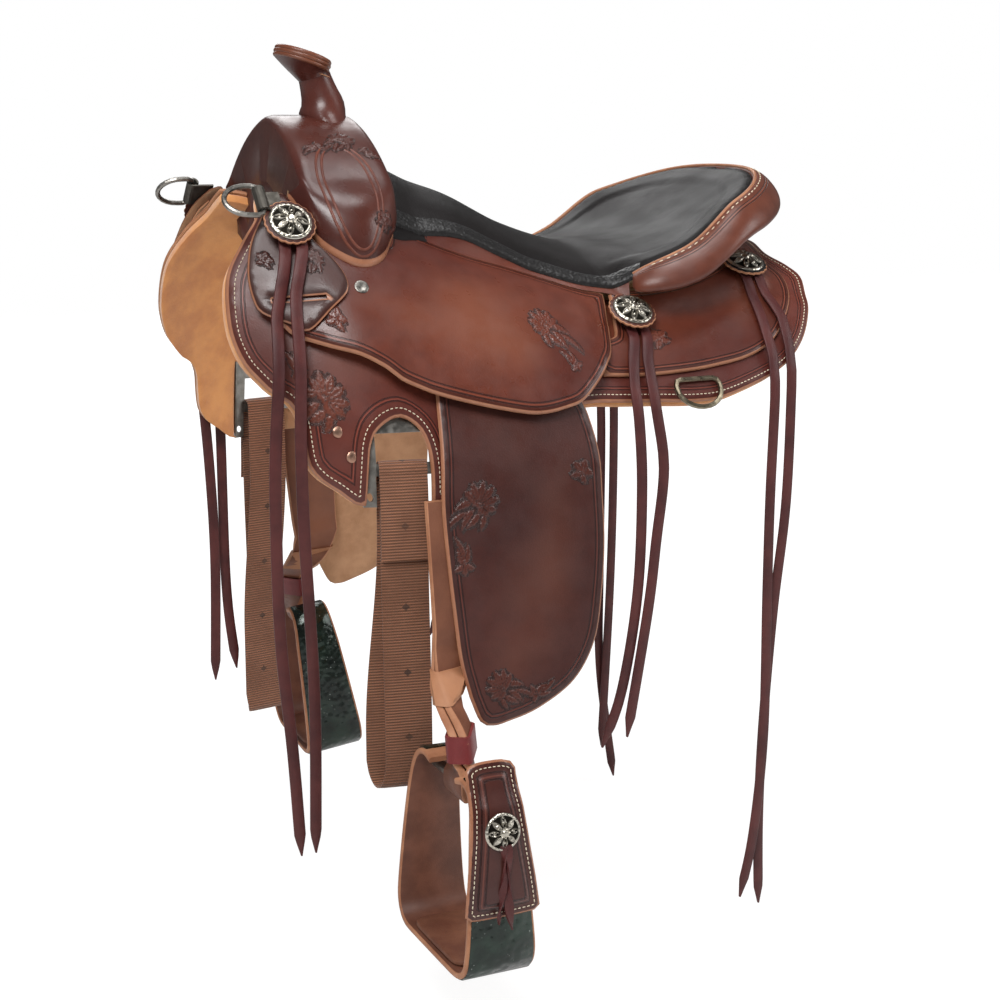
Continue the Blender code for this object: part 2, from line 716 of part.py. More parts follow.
def turned(name, slot, profile, base, lean, steps=20):
    """A round piece from its (radius, height) profile, standing at base and leaning back by an angle."""
    mesh = bpy.data.meshes.new(name)
    mesh.from_pydata([(r * MM, 0, h * MM) for r, h in profile], [(k, k + 1) for k in range(len(profile) - 1)], [])
    mesh.materials.append(material(slot))
    obj = bpy.data.objects.new(name, mesh)
    obj.location = np.array(base, float) * MM
    obj.rotation_euler = (0, lean, 0)
    saddle.objects.link(obj)
    screw = obj.modifiers.new("Turn", "SCREW")
    screw.steps = screw.render_steps = steps
    screw.use_merge_vertices = True
    screw.merge_threshold = 0.0001
    screw.use_smooth_shade = True
    screw.use_normal_flip = True
    return obj


def horn_lean():
    return math.atan2(HORN_TOP[0] - HORN_FOOT[0], HORN_TOP[1] - HORN_FOOT[1])


def horn_and_fork():
    lean = horn_lean()
    foot = (HORN_FOOT[0], 0, HORN_FOOT[1])
    neck = math.dist(HORN_FOOT, HORN_TOP)
    fork = fork_loft("tree_fork", "tree_wood", 0, FORK_HANG_LIFT)
    hole = turned("core_socket", "steel",
                  [(0, -CORE_SUNK - GAP), (CORE_R + GAP, -CORE_SUNK - GAP), (CORE_R + GAP, 60), (0, 60)], foot, lean)
    cut(fork, hole)
    cover = fork_loft("fork_cover", "dark_leather", COVER_THICK + GAP, COVER_HANG_LIFT, 1.5, 0, spread=COVER_THICK + GAP)
    hollow = fork_loft("fork_space", "dark_leather", GAP, COVER_HANG_LIFT - 20, 3, 30, spread=GAP)
    cut(cover, hollow)
    hole = hole.copy()
    hole.name = "core_hole"
    cutters.objects.link(hole)
    cut(cover, hole)
    turned("horn_core", "steel", [(0, -CORE_SUNK), (CORE_R, -CORE_SUNK), (CORE_R, neck + 3), (0, neck + 3)], foot, lean)
    top_r = WRAP_R[1]
    turned("horn_wrap", "dark_leather",
           [(CORE_R + GAP, 7), (WRAP_R[0] + 1, 7), (WRAP_R[0] - 1.5, 14), (top_r + 0.5, 22), (top_r, neck + 1),
            (CORE_R + GAP, neck + 1), (CORE_R + GAP, 7)], foot, lean)
    cap_base = (CAP_MID[0] - math.sin(CAP_TILT) * CAP_THICK, 0, CAP_MID[1] - math.cos(CAP_TILT) * CAP_THICK)
    turned("horn_cap", "dark_leather",
           [(0, 0), (top_r, 0), (CAP_R - 5, 4), (CAP_R, 7), (CAP_R, 9.5), (CAP_R - 2.5, CAP_THICK), (0, CAP_THICK + 1)],
           cap_base, CAP_TILT)


# conchos, strings, dees
CONCHO_R = 20
CONCHO_DOME = 6.5
STRING_WIDE = 11
STRING_THICK = 2.5
STRING_LOOP = 7.5
STRING_STEP = 34
CLIP_THICK = 2
CLIP_WIDE = 26
FRONT_SPOT = (-284, 55)
MID_SPOT = (53, -32)
REAR_SPOT = (200, 2)
# each string: (x, z) spots over the leather, then free (x, y, z) points down to its tip
FRONT_NEAR = (
    ((-292, 38), (-301, 10), (-308, -12)),
    ((-313, 180, -50), (-318, 182, -110), (-321, 185, -170), (-320, 186, -290), (-311, 186, -400), (-305, 186, -502)),
    ((-277, 38), (-289, 8), (-292, -11)),
    ((-294, 183, -50), (-297, 188, -115), (-296, 189, -200), (-290, 189, -350), (-292, 189, -500)),
)
FRONT_FAR = (
    ((-292, 38), (-295, 10), (-293, -12)),
    ((-288, 187, -50), (-280, 193, -115), (-273, 197, -200), (-270, 197, -308), (-274, 197, -446)),
    ((-277, 38), (-280, 8), (-277, -14), (-273, -30)),
    ((-268, 193, -60), (-262, 201, -115), (-257, 205, -160), (-256, 205, -340), (-247, 205, -438)),
)
MID_ROUTE = (
    ((47, -46), (36, -66)),
    ((30, 206, -80), (30, 215, -108), (34, 216, -176), (31, 216, -280), (15, 216, -377), (-6, 216, -432)),
    ((61, -46), (51, -66)),
    ((49, 206, -80), (50, 215, -108), (56, 219, -160), (49, 219, -229), (41, 219, -299), (20, 219, -424)),
)
REAR_NEAR = (
    ((193, -14), (188, -44)),
    ((187, 202, -60), (186, 207, -76), (185, 211, -100), (183, 211, -200), (183, 211, -299), (184, 211, -448),
     (175, 211, -555), (161, 211, -622)),
    ((208, -14), (212, -36)),
    ((211, 194, -52), (209, 201, -68), (208, 205, -92), (206, 205, -210), (195, 205, -318), (187, 205, -440),
     (185, 205, -540), (188, 205, -636)),
)
REAR_FAR = (
    ((193, -14), (198, -42)),
    ((200, 197, -56), (206, 204, -76), (212, 208, -100), (217, 208, -200), (217, 208, -380), (219, 208, -500),
     (240, 208, -645)),
    ((208, -14), (215, -34)),
    ((218, 191, -47), (224, 199, -66), (228, 203, -95), (231, 202, -200), (229, 202, -380), (219, 202, -600)),
)
STRING_FREE = 3.4  # past its concho a string stands this far off, as the layers below it bend
OVER_STEP = 12


def face_out(side, x, v):
    """The direction straight out of the back at a spot."""
    return (on_back(side, x, v, 10) - on_back(side, x, v, 0)) / 10


def string_pair(name, side, spot, routes, lift, near_clear):
    """Two hanging ends of one strip that turns under its concho."""
    over_a, free_a, over_b, free_b = routes
    middle_v = float(at_height(*spot))

    def resting(x, v):
        past = ease((math.hypot(x - spot[0], v - middle_v) - 9) / 22)
        clear = near_clear + (STRING_FREE - near_clear) * past
        return [*on_back(side, x, v, lift(x, v) + clear + STRING_THICK / 2), *face_out(side, x, v)]

    def strand(over, free, foot):
        line = [[x, side * y, z, 0, side, 0] for x, y, z in free[::-1]]
        flat = [(x, float(at_height(x, z))) for x, z in over[::-1]] + [(foot, middle_v + 4)]
        rest = [resting(x, v) for x, v in smooth_run(flat, OVER_STEP)]
        return smooth_run([*line, rest[0]], STRING_STEP)[:-1] + rest

    turn = [
        resting(spot[0] - STRING_LOOP * math.cos(a), middle_v - 1 - STRING_LOOP * math.sin(a))
        for a in np.linspace(0.15, math.pi - 0.15, 5)
    ]
    first = strand(over_a, free_a, spot[0] - STRING_LOOP)
    second = strand(over_b, free_b, spot[0] + STRING_LOOP)
    path = np.array([*first, *turn, *second[::-1]])
    keep = [0]
    for k in range(1, len(path)):
        if np.linalg.norm(path[k, :3] - path[keep[-1], :3]) > 3:
            keep.append(k)
    path = path[keep]
    spots, outs = path[:, :3], path[:, 3:]
    along = np.gradient(spots, axis=0)
    rings = []
    for k, (p, t, n) in enumerate(zip(spots, along, outs)):
        wide = np.cross(t, n)
        wide = wide / np.linalg.norm(wide) * STRING_WIDE / 2
        if k in (0, len(spots) - 1):
            wide = wide * 0.2
        deep = n / np.linalg.norm(n) * STRING_THICK / 2
        rings.append([p + wide + deep, p - wide + deep, p - wide - deep, p + wide - deep])
    return skin(name, "string_leather", rings, smooth=False)


def concho(name, side, spot, lift):
    x, z = spot
    v = float(at_height(x, z))
    base = on_back(side, x, v, lift)
    profile = [(0, 0), (CONCHO_R - 1, 0), (CONCHO_R, 1), (CONCHO_R - 0.5, 2), (CONCHO_R * 0.62, CONCHO_DOME * 0.8),
               (CONCHO_R * 0.3, CONCHO_DOME), (0, CONCHO_DOME + 0.4)]
    made = turned(name, "antique_silver", profile, base, 0, steps=18)
    made.rotation_euler = Vector(face_out(side, x, v)).to_track_quat("Z", "Y").to_euler()
    return made


def front_seat_lift(x, v):
    return front_jockey_out(x, v) + GAP + CLIP_THICK if v < 185 else front_jockey_out(x, v)


def conchos_and_strings():
    # each place: its spot, the layer below, the routes, the strings' clearance there, and the concho's above them
    places = (
        ("front", FRONT_SPOT, front_seat_lift, {LEFT: FRONT_NEAR, RIGHT: FRONT_FAR}, 0.9, 0.3),
        ("mid", MID_SPOT, rear_jockey_out, {LEFT: MID_ROUTE, RIGHT: MID_ROUTE}, 2.2, -2.4),
        ("rear", REAR_SPOT, rear_jockey_out, {LEFT: REAR_NEAR, RIGHT: REAR_FAR}, 0.9, 1.2),
    )
    for place, spot, lift, routes, near_clear, sit in places:
        top = max(lift(spot[0] + dx, float(at_height(*spot)) + dv) for dx in (-15, 0, 15) for dv in (-15, 0, 15))
        for side, word in SIDES:
            concho(f"{place}_concho_{word}", side, spot, top + near_clear + STRING_THICK + sit)
            string_pair(f"{place}_strings_{word}", side, spot, routes[side], lift, near_clear)



def local_frame(side, x, v, lift):
    """An origin on a layer, with axes along the back, down round it and straight out."""
    origin = on_back(side, x, v, lift)
    out = face_out(side, x, v)
    down_way = on_back(side, x, v + 1, lift) - origin
    down_way -= out * np.dot(out, down_way)
    down_way /= np.linalg.norm(down_way)
    along = np.cross(down_way, out) * (1 if np.cross(down_way, out)[0] > 0 else -1)
    return origin, along, down_way, out


def bent_sheet(name, slot, path, thick, place, width, origin=(0, 0, 0)):
    """A flat strip bent along a 2-D path and as wide as width; place maps (p, q, w) into the scene."""
    p = np.array(path, float)
    t = np.gradient(p, axis=0)
    t /= np.linalg.norm(t, axis=1)[:, None]
    n = np.stack([-t[:, 1], t[:, 0]], 1) * thick / 2
    one, two = p + n, p - n
    rings = [
        [place(*a, -width / 2), place(*a, width / 2), place(*b, width / 2), place(*b, -width / 2)]
        for a, b in zip(one, two)
    ]
    return skin(name, slot, rings, origin, smooth=False)


BREAST_X = -305
BREAST_SPOT_Z = 72
BREAST_WIRE = 5
BREAST_HALF = 17
BREAST_DEEP = 34
REAR_DEE_SPOT = (99, -82.5)
REAR_DEE_WIRE = 5
REAR_DEE_HALF = 24
REAR_DEE_DEEP = 30
ROLL_R = 3.9


def wire_dee(name, slot, frame, half, deep, wire):
    """A D of round wire: a straight bar along the first axis, and a bow along the second."""
    origin, bar, bow, out = frame
    corner = 6
    arc = [(half * math.cos(a), deep * 0.35 + deep * 0.65 * math.sin(a)) for a in np.linspace(0, math.pi, 13)]
    flat = [(-half, corner), (-half + corner * 0.3, corner * 0.3), (-half + corner, 0), (half - corner, 0),
            (half - corner * 0.3, corner * 0.3), (half, corner)] + arc
    p = np.array(flat)
    rings = []
    for k, (u, w) in enumerate(p):
        t = p[(k + 1) % len(p)] - p[k - 1]
        t = t / np.linalg.norm(t)
        centre = origin + bar * u + bow * w
        across_wire = bar * -t[1] + bow * t[0]
        rings.append([
            centre + wire / 2 * (across_wire * math.cos(a) + out * math.sin(a))
            for a in np.linspace(0, 2 * math.pi, 8, endpoint=False)
        ])
    return skin(name, slot, rings, origin, closed=True)


def dees():
    clip_v = float(at_height(BREAST_X, BREAST_SPOT_Z)) + 2
    for side, word in SIDES:
        base = max(front_jockey_out(BREAST_X + dx, clip_v + dv) for dx in (0, 22) for dv in (-13, 0, 13)) + GAP + 2.2
        origin, along, down_way, out = local_frame(side, BREAST_X, clip_v, base + ROLL_R + CLIP_THICK)
        wire_dee(f"breast_dee_{word}", "steel", (origin, down_way, -along, out), BREAST_HALF, BREAST_DEEP, BREAST_WIRE)
        roll = ROLL_R + CLIP_THICK / 2
        flat = [(6, -roll), (14, -roll), (20, -roll)]
        loop = [(roll * math.sin(a), -roll * math.cos(a)) for a in np.linspace(0, math.radians(290), 14)]
        path = flat[::-1] + [(-p, q) for p, q in loop]
        bent_sheet(f"dee_clip_{word}", "steel", path, CLIP_THICK,
                   lambda p, q, w, o=origin, a=along, d=down_way, n=out: tuple(o + a * p + n * q + d * w), CLIP_WIDE)
        x, z = REAR_DEE_SPOT
        frame = local_frame(side, x, float(at_height(x, z)), SKIRT_OUT + GAP + REAR_DEE_WIRE / 2 + 0.6)
        wire_dee(f"rear_dee_{word}", "brass", frame, REAR_DEE_HALF, REAR_DEE_DEEP, REAR_DEE_WIRE)


# fenders, stirrup leathers and stirrups
HINGE = (-150, -88)  # where the leg turns under the jockey, as (x, z)
FENDER_THICK = 4.5
FENDER_CLEAR = 0.9
FLAT_SLOPE = 0.42  # how fast the fender leans out going down, over its top and over the rest
HANG_SLOPE = 0.16
BEND_Z = (-116, -166)
FENDER_TOP = ((-171, -64), (-100, -70), (-30, -84))
FENDER_BACK = ((-30, -84), (-24, -101), (-19, -135), (-19, -171), (-20, -217), (-26, -263), (-37, -308), (-61, -342),
               (-99, -363), (-130, -371), (-146, -373), (-158, -368), (-167, -345))
FENDER_FRONT = ((-167, -345), (-174, -312), (-177, -273), (-180, -219), (-181, -167), (-176, -115), (-173, -79),
                (-171, -64))
FAR_REST_SWING = math.radians(9)
STRAP_THICK = 7
STRAP_GAP = 0.9
STRAP_FREE_Z = -290  # below this the leather stands off the fender, so that it can turn
STIRRUP_MID = (-192, 303)  # centre of the stirrup, as (x, distance from the centre)
BOLT_Z = -408
BOLT_R = 5
# stirrup leather stations: z, x, width, thickness, turn in degrees
STRAP_STATIONS = (
    (-194, -171, 58, STRAP_THICK, 0), (-250, -171, 58, STRAP_THICK, 0), (-300, -173, 56, 9, 0),
    (-320, -181, 50, 10, 20), (-336, -190, 44, 13, 45), (-350, -193, 41, 16, 60), (-360, -193, 41, 16, 60),
    (-382, -193, 41, 16, 60), (-392, -192, 42, 17, 80), (-401, -192, 42, 22, 90), (-413, -192, 42, 22, 90),
    (-419, -192, 42, 16, 90),
)
STRAP_OUT_Z = (-326, -368)  # the leather leaves the fender and comes to the stirrup's middle between these
KEEPER_Z = (-360, -382)
KEEPER_THICK = 2.5
# the stirrup's side from its top end down: (distance from its middle, z, width)
BOW = ((29, -396, 42), (42, -393, 42), (53, -396, 43), (61, -407, 45), (66, -430, 50), (71, -470, 56), (74, -510, 62),
       (74, -536, 66), (69, -550, 67), (57, -557, 68), (30, -558, 68), (0, -558, 68))
BOW_THICK = 7
TREAD_SIZE = (100, 60, 5)
COVER_FROM = 2
COVER_SIDE_THICK = 3
STIRRUP_CONCHO_Z = -425


def lean(z):
    """The fender's run out for each millimetre down, at height z."""
    return FLAT_SLOPE + (HANG_SLOPE - FLAT_SLOPE) * ease((BEND_Z[0] - z) / (BEND_Z[0] - BEND_Z[1]))


def hinge_point(side):
    x, z = HINGE
    lift = SKIRT_OUT + FENDER_CLEAR + FENDER_THICK / 2
    return on_back(side, x, float(at_height(x, z)), lift)


LEG_Z = np.arange(0, -620, -2.0)
LEG_TOP = abs(hinge_point(RIGHT)[1]) + FLAT_SLOPE * hinge_point(RIGHT)[2]
LEG_Y = LEG_TOP + np.concatenate([[0], np.cumsum([2 * lean(z - 1) for z in LEG_Z[:-1]])])


def on_fender(side, x, z, lift):
    """A spot on the hanging leather, lifted square to it."""
    y = float(np.interp(-z, -LEG_Z, LEG_Y))
    slope = lean(z)
    size = math.hypot(1, slope)
    return np.array([x, side * (y + lift / size), z + lift * slope / size])


def swing_axis(side):
    return np.array([0, side, FLAT_SLOPE]) / math.hypot(1, FLAT_SLOPE)


def strap_section(side, k, grow=0.0):
    """The four corners of the stirrup leather at one station."""
    z, x, width, thick, turn = STRAP_STATIONS[k]
    spare = STRAP_GAP if z > STRAP_FREE_Z else STRAP_GAP + 4
    near = on_fender(RIGHT, x, z, -FENDER_THICK / 2 - spare - thick / 2)[1]
    blend = ease((STRAP_OUT_Z[0] - z) / (STRAP_OUT_Z[0] - STRAP_OUT_Z[1]))
    y = near + (STIRRUP_MID[1] - near) * blend
    a = math.radians(turn)
    wide = np.array([math.cos(a), -math.sin(a)]) * (width / 2 + grow)
    deep = np.array([math.sin(a), math.cos(a)]) * (thick / 2 + grow)
    spots = [wide + deep, -wide + deep, -wide - deep, wide - deep]
    return [(x + p[0], side * (y + p[1]), z) for p in spots]


def bow_ring(side, k, share, low, high):
    """Four corners of the stirrup's band at station k, between two offsets out from its inner face."""
    path = np.array([(share * h, z) for h, z, _ in BOW])
    t = np.gradient(path, axis=0)[k]
    t = t / np.linalg.norm(t)
    out = np.array([-t[1], t[0]]) * (1 if share > 0 else -1)
    if k == len(BOW) - 1:
        out = np.array([0.0, -1.0])
    wide = BOW[k][2] / 2
    ring = []
    for dx, lift in ((-wide, low), (wide, low), (wide, high), (-wide, high)):
        h, z = path[k] + out * lift
        ring.append((STIRRUP_MID[0] + dx, side * (STIRRUP_MID[1] + h), z))
    return ring


def leg(side, word):
    """Everything that swings with one fender, made as it hangs straight down."""
    pivot = hinge_point(side)
    made = [panel(f"fender_{word}", "dark_leather", side,
                  outline(FENDER_TOP, FENDER_BACK, FENDER_FRONT, step=24),
                  -FENDER_THICK / 2, FENDER_THICK / 2, du=34, dv=26, surface=on_fender)]
    strap = skin(f"stirrup_leather_{word}", "raw_leather",
                 [strap_section(side, k) for k in range(len(STRAP_STATIONS))], smooth=False)
    bolt_at = (STIRRUP_MID[0], side * STIRRUP_MID[1], BOLT_Z)
    strap_hole = rod(f"bolt_hole_{word}", "steel", bolt_at, 60, BOLT_R + GAP)
    cut(strap, strap_hole)
    keeper_rows = [k for k, s in enumerate(STRAP_STATIONS) if s[0] in KEEPER_Z]
    rings = []
    for grow in (GAP, GAP + KEEPER_THICK):
        rings.append([strap_section(side, k, grow) for k in keeper_rows])
    keeper = band(f"hobble_strap_{word}", "string_leather", rings)
    made += [strap, keeper]
    rest = [(-1, k) for k in range(len(BOW))] + [(1, k) for k in range(len(BOW) - 2, -1, -1)]
    stirrup = skin(f"stirrup_{word}", "stirrup_metal",
                   [bow_ring(side, k, share, 0, BOW_THICK) for share, k in rest], bolt_at, smooth=False)
    bow_hole = rod(f"bow_hole_{word}", "steel", bolt_at, 220, BOLT_R + GAP)
    cut(stirrup, bow_hole)
    bolt = rod(f"stirrup_bolt_{word}", "steel", bolt_at, 2 * bolt_half(), BOLT_R)
    tread = slab_box(f"stirrup_tread_{word}", "skirt_leather", bolt_at,
                     (STIRRUP_MID[0], side * STIRRUP_MID[1], BOW[-1][1] + GAP + TREAD_SIZE[2] / 2), TREAD_SIZE)
    rows = range(COVER_FROM, COVER_FROM + 5)
    cover = skin(f"stirrup_cover_{word}", "dark_leather",
                 [bow_ring(side, k, 1, BOW_THICK + GAP, BOW_THICK + GAP + COVER_SIDE_THICK) for k in rows],
                 bolt_at, smooth=False)
    bow_y = float(np.interp(-STIRRUP_CONCHO_Z, [-z for _, z, _ in BOW], [h for h, _, _ in BOW]))
    out = Vector((0, side, 0.17)).normalized()
    sit = BOW_THICK + COVER_SIDE_THICK + 2 * GAP
    spot = (STIRRUP_MID[0], side * (STIRRUP_MID[1] + bow_y + sit), STIRRUP_CONCHO_Z)
    badge = turned(f"stirrup_concho_{word}", "antique_silver",
                   [(0, 0), (CONCHO_R - 1, 0), (CONCHO_R, 1), (CONCHO_R - 0.5, 2), (CONCHO_R * 0.62, CONCHO_DOME * 0.8),
                    (CONCHO_R * 0.3, CONCHO_DOME), (0, CONCHO_DOME + 0.4)], spot, 0, steps=18)
    badge.rotation_euler = out.to_track_quat("Z", "Y").to_euler()
    made += [stirrup, bolt, tread, cover, badge, strap_hole, bow_hole]
    hinge = bpy.data.objects.new(f"leg_hinge_{word}", None)
    hinge.location = pivot * MM
    saddle.objects.link(hinge)
    for piece in made:
        piece.location = np.array(piece.location) - pivot * MM
        piece.parent = hinge
    if side == RIGHT:
        hinge.rotation_mode = "AXIS_ANGLE"
        hinge.rotation_axis_angle = (-FAR_REST_SWING, *swing_axis(side))
    return hinge


def bolt_half():
    """The bolt runs through both sides of the bow."""
    half = float(np.interp(-BOLT_Z, [-z for _, z, _ in BOW], [h for h, _, _ in BOW]))
    return half + BOW_THICK - 2


def rod(name, slot, centre, length, radius, sides=16):
    """A round bar along Y."""
    rings = []
    for y in (-length / 2, length / 2):
        rings.append([
            (centre[0] + radius * math.cos(a), centre[1] + y, centre[2] + radius * math.sin(a))
            for a in np.linspace(0, 2 * math.pi, sides, endpoint=False)
        ])
    return skin(name, slot, rings, centre, smooth=False)


def slab_box(name, slot, origin, centre, size):
    x, y, z = centre
    rings = []
    for dz in (-size[2] / 2, size[2] / 2):
        rings.append([(x + dx * size[1] / 2, y + dy * size[0] / 2, z + dz)
                      for dx, dy in ((-1, -1), (1, -1), (1, 1), (-1, 1))])
    return skin(name, slot, rings, origin, smooth=False)


def band(name, slot, rings):
    """A flat strap right round a four-cornered section, from its inner and outer corners."""
    (low_in, high_in), (low_out, high_out) = rings
    corners = [[low_in[k], low_out[k], high_out[k], high_in[k]] for k in range(4)]
    return skin(name, slot, corners, closed=True, smooth=False)


# latigo: one strip that hangs from the rigging plate in a long loop
LATIGO_X = -208
LATIGO_WIDE = 44
LATIGO_THICK = 2
LATIGO_DROP = 291  # from the bar down to the fold
LATIGO_FLAP = 81
LATIGO_EXTRA = {LEFT: 0, RIGHT: 48}  # the far one hangs lower
WRAP_HALF = 7.5
FOLD_R = 9


def plate_bar(side):
    """The middle of the rigging plate's bar, and the way that it runs."""
    z = PLATE_SLOT_Z[1] - PLATE_BAR / 2
    ends = [
        on_back(side, LATIGO_X + dx, float(at_height(LATIGO_X + dx, z)), SKIRT_IN - GAP - PLATE_THICK / 2)
        for dx in (-LATIGO_WIDE / 2, LATIGO_WIDE / 2)
    ]
    run = ends[1] - ends[0]
    run[2] = 0
    return (ends[0] + ends[1]) / 2, run / np.linalg.norm(run)


def latigos():
    turns = np.linspace(-0.3, math.pi + 0.2, 12)
    wrap = [(WRAP_HALF * math.cos(a), WRAP_HALF * math.sin(a)) for a in turns]
    flap = [(13.5, -LATIGO_FLAP), (12.5, -54), (11.2, -31), (9.6, -14)]
    low = [(-7.6, -24), (-8, -90), (-8.5, -190), (-8, 14 - LATIGO_DROP)]
    middle = FOLD_R - 8
    fold = [(middle - FOLD_R * math.cos(a), -LATIGO_DROP - FOLD_R * math.sin(a)) for a in np.linspace(0, math.pi, 9)]
    front = [(middle + FOLD_R, 16 - LATIGO_DROP), (9, -200), (8.5, -110), (8.2, -60), (7.4, -36)]
    for side, word in SIDES:
        centre, run = plate_bar(side)
        out = np.array([-run[1], run[0], 0]) * side
        drop_by = LATIGO_EXTRA[side]
        path = [(p, q - drop_by if q < -150 else q) for p, q in flap + wrap + low + fold + front]
        bent_sheet(f"latigo_{word}", "webbing", path, LATIGO_THICK,
                   lambda p, q, w, c=centre, r=run, o=out: tuple(c + r * w + o * p + np.array([0, 0, q])),
                   LATIGO_WIDE, centre)


def main():
    skirts()
    jockeys()
    seat_pieces()
    horn_and_fork()
    conchos_and_strings()
    dees()
    for side, word in SIDES:
        leg(side, word)
    latigos()


clear_scene()
saddle = collection("trail_saddle")
cutters = collection("cutters", hidden=True)
main()
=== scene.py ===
"""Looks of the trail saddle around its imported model.

Lengths are in millimetres, and turn to metres when a mesh is made. Front is -X and left is -Y.
"""

import math

import bpy
import numpy as np
from mathutils import Matrix, Vector
from mathutils.bvhtree import BVHTree
from mathutils.geometry import delaunay_2d_cdt


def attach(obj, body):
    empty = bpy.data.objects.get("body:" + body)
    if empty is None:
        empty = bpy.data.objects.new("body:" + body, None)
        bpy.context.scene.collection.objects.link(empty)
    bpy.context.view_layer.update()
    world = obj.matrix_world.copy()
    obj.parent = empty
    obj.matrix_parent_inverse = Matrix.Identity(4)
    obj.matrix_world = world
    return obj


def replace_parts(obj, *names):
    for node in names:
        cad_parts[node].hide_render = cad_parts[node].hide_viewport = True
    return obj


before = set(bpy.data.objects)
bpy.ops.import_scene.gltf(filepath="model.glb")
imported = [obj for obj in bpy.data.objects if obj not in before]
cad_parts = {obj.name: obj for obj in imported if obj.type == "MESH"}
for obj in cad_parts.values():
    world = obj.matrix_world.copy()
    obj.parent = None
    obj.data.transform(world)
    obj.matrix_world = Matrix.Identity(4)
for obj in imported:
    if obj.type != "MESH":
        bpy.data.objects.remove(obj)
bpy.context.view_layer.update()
MM = 0.001
LEFT, RIGHT = -1, 1
SIDES = ((LEFT, "left"), (RIGHT, "right"))

# ---- camera, in metres; its lens and sensor in millimetres ----
TARGET = Vector((-0.015, 0, -0.226))
TOWARDS = Vector((-0.4134, -0.8865, 0.2079))
DISTANCE = 1.9
LENS, SENSOR = 64.8, 36
cam = bpy.data.objects.new("camera", bpy.data.cameras.new("camera"))
cam.data.lens = LENS
cam.data.sensor_width = SENSOR
cam.location = TARGET + TOWARDS.normalized() * DISTANCE
cam.rotation_euler = (TARGET - cam.location).to_track_quat("-Z", "Y").to_euler()
bpy.context.scene.collection.objects.link(cam)
bpy.context.scene.camera = cam


# ---- the back under the saddle, as in the CAD ----
STATION_X = (-345, -284, -215, -90, 0, 100, 200, 300)
RIDGE_Z = (116, 110, 85, 38, 18, 15, 28, 45)
HALF_WIDTH = (140, 182, 210, 227, 230, 228, 218, 190)
DROP = (280, 285, 278, 250, 220, 200, 180, 170)
ROUND = 215  # turns an angle round the back into a distance
# the layers' faces, off the back
LINING_IN, LINING_OUT = -10.3, -0.8
SKIRT_OUT = 5
LOW_OUT = 10.3
JOCKEY_IN = 18.4
JOCKEY_THICK = 4.5
JOCKEY_OUT = 22.9
GAP = 0.8


def table(x, xs, ys):
    """Smooth values at x through the stations (xs, ys)."""
    xs, ys = np.array(xs, float), np.array(ys, float)
    steps, rises = np.diff(xs), np.diff(ys)
    slopes = np.empty(len(xs))
    slopes[1:-1] = (ys[2:] - ys[:-2]) / (xs[2:] - xs[:-2])
    slopes[0], slopes[-1] = rises[0] / steps[0], rises[-1] / steps[-1]
    x = np.clip(x, xs[0], xs[-1])
    i = np.clip(np.searchsorted(xs, x) - 1, 0, len(xs) - 2)
    t = (x - xs[i]) / steps[i]
    start = (2 * t**3 - 3 * t**2 + 1) * ys[i] + (t**3 - 2 * t**2 + t) * steps[i] * slopes[i]
    end = (3 * t**2 - 2 * t**3) * ys[i + 1] + (t**3 - t**2) * steps[i] * slopes[i + 1]
    return start + end


def ease(t):
    t = np.clip(t, 0, 1)
    return t * t * (3 - 2 * t)


def rise(x, span):
    """0 before the span, 1 after it."""
    return ease((x - span[0]) / (span[1] - span[0]))


def on_back(side, x, v, lift):
    """Points at x along the back and v round it from the ridge, lifted square to it."""
    sine, cosine = np.sin(np.asarray(v) / ROUND), np.cos(np.asarray(v) / ROUND)
    wide, deep = table(x, STATION_X, HALF_WIDTH), table(x, STATION_X, DROP)
    out, up = sine / wide, cosine / deep
    size = np.hypot(out, up)
    y = side * (wide * sine + lift * out / size)
    z = table(x, STATION_X, RIDGE_Z) - deep * (1 - cosine) + lift * up / size
    return np.stack([x + 0 * y, y, z], -1)


def face_out(side, x, v):
    """The direction square to the back at a spot."""
    return (on_back(side, x, v, 10) - on_back(side, x, v, 0)) / 10


def at_height(x, z):
    """How far round the back the height z lies."""
    fall = (table(x, STATION_X, RIDGE_Z) - z) / table(x, STATION_X, DROP)
    return ROUND * np.arccos(np.clip(1 - fall, -1, 1))


def at_spot(x, z):
    return float(at_height(x, z))


def at_width(x, y):
    return ROUND * np.arcsin(np.clip(y / table(x, STATION_X, HALF_WIDTH), -1, 1))


def down(*spots):
    return [(x, at_spot(x, z)) for x, z in spots]


def across(*spots):
    return [(x, float(at_width(x, y))) for x, y in spots]


LOOK_V = np.linspace(0, 330, 67)  # where a layer is sampled, from the ridge down


def height_at(x, y, lift):
    """Height of the layer at that lift, over the plan point (x, y)."""
    spots = on_back(RIGHT, float(x), LOOK_V, lift)
    top = int(np.argmax(spots[:, 1]))
    return float(np.interp(abs(y), spots[: top + 1, 1], spots[: top + 1, 2]))


def lengths(p):
    """Length along a line of points, at each of them."""
    return np.concatenate([[0], np.cumsum(np.linalg.norm(np.diff(p, axis=0), axis=1))])


def at_lengths(spots, run, p):
    return np.stack([np.interp(spots, run, p[:, k]) for k in range(p.shape[1])], 1)


def unit(v):
    v = np.asarray(v, float)
    return v / (np.linalg.norm(v) if v.ndim == 1 else np.linalg.norm(v, axis=1)[:, None])


def thinned(p, least, axes=3):
    """The points of a line that lie at least so far from the last one kept."""
    keep = [0]
    for k in range(1, len(p)):
        if np.linalg.norm(p[k, :axes] - p[keep[-1], :axes]) > least:
            keep.append(k)
    return p[keep]


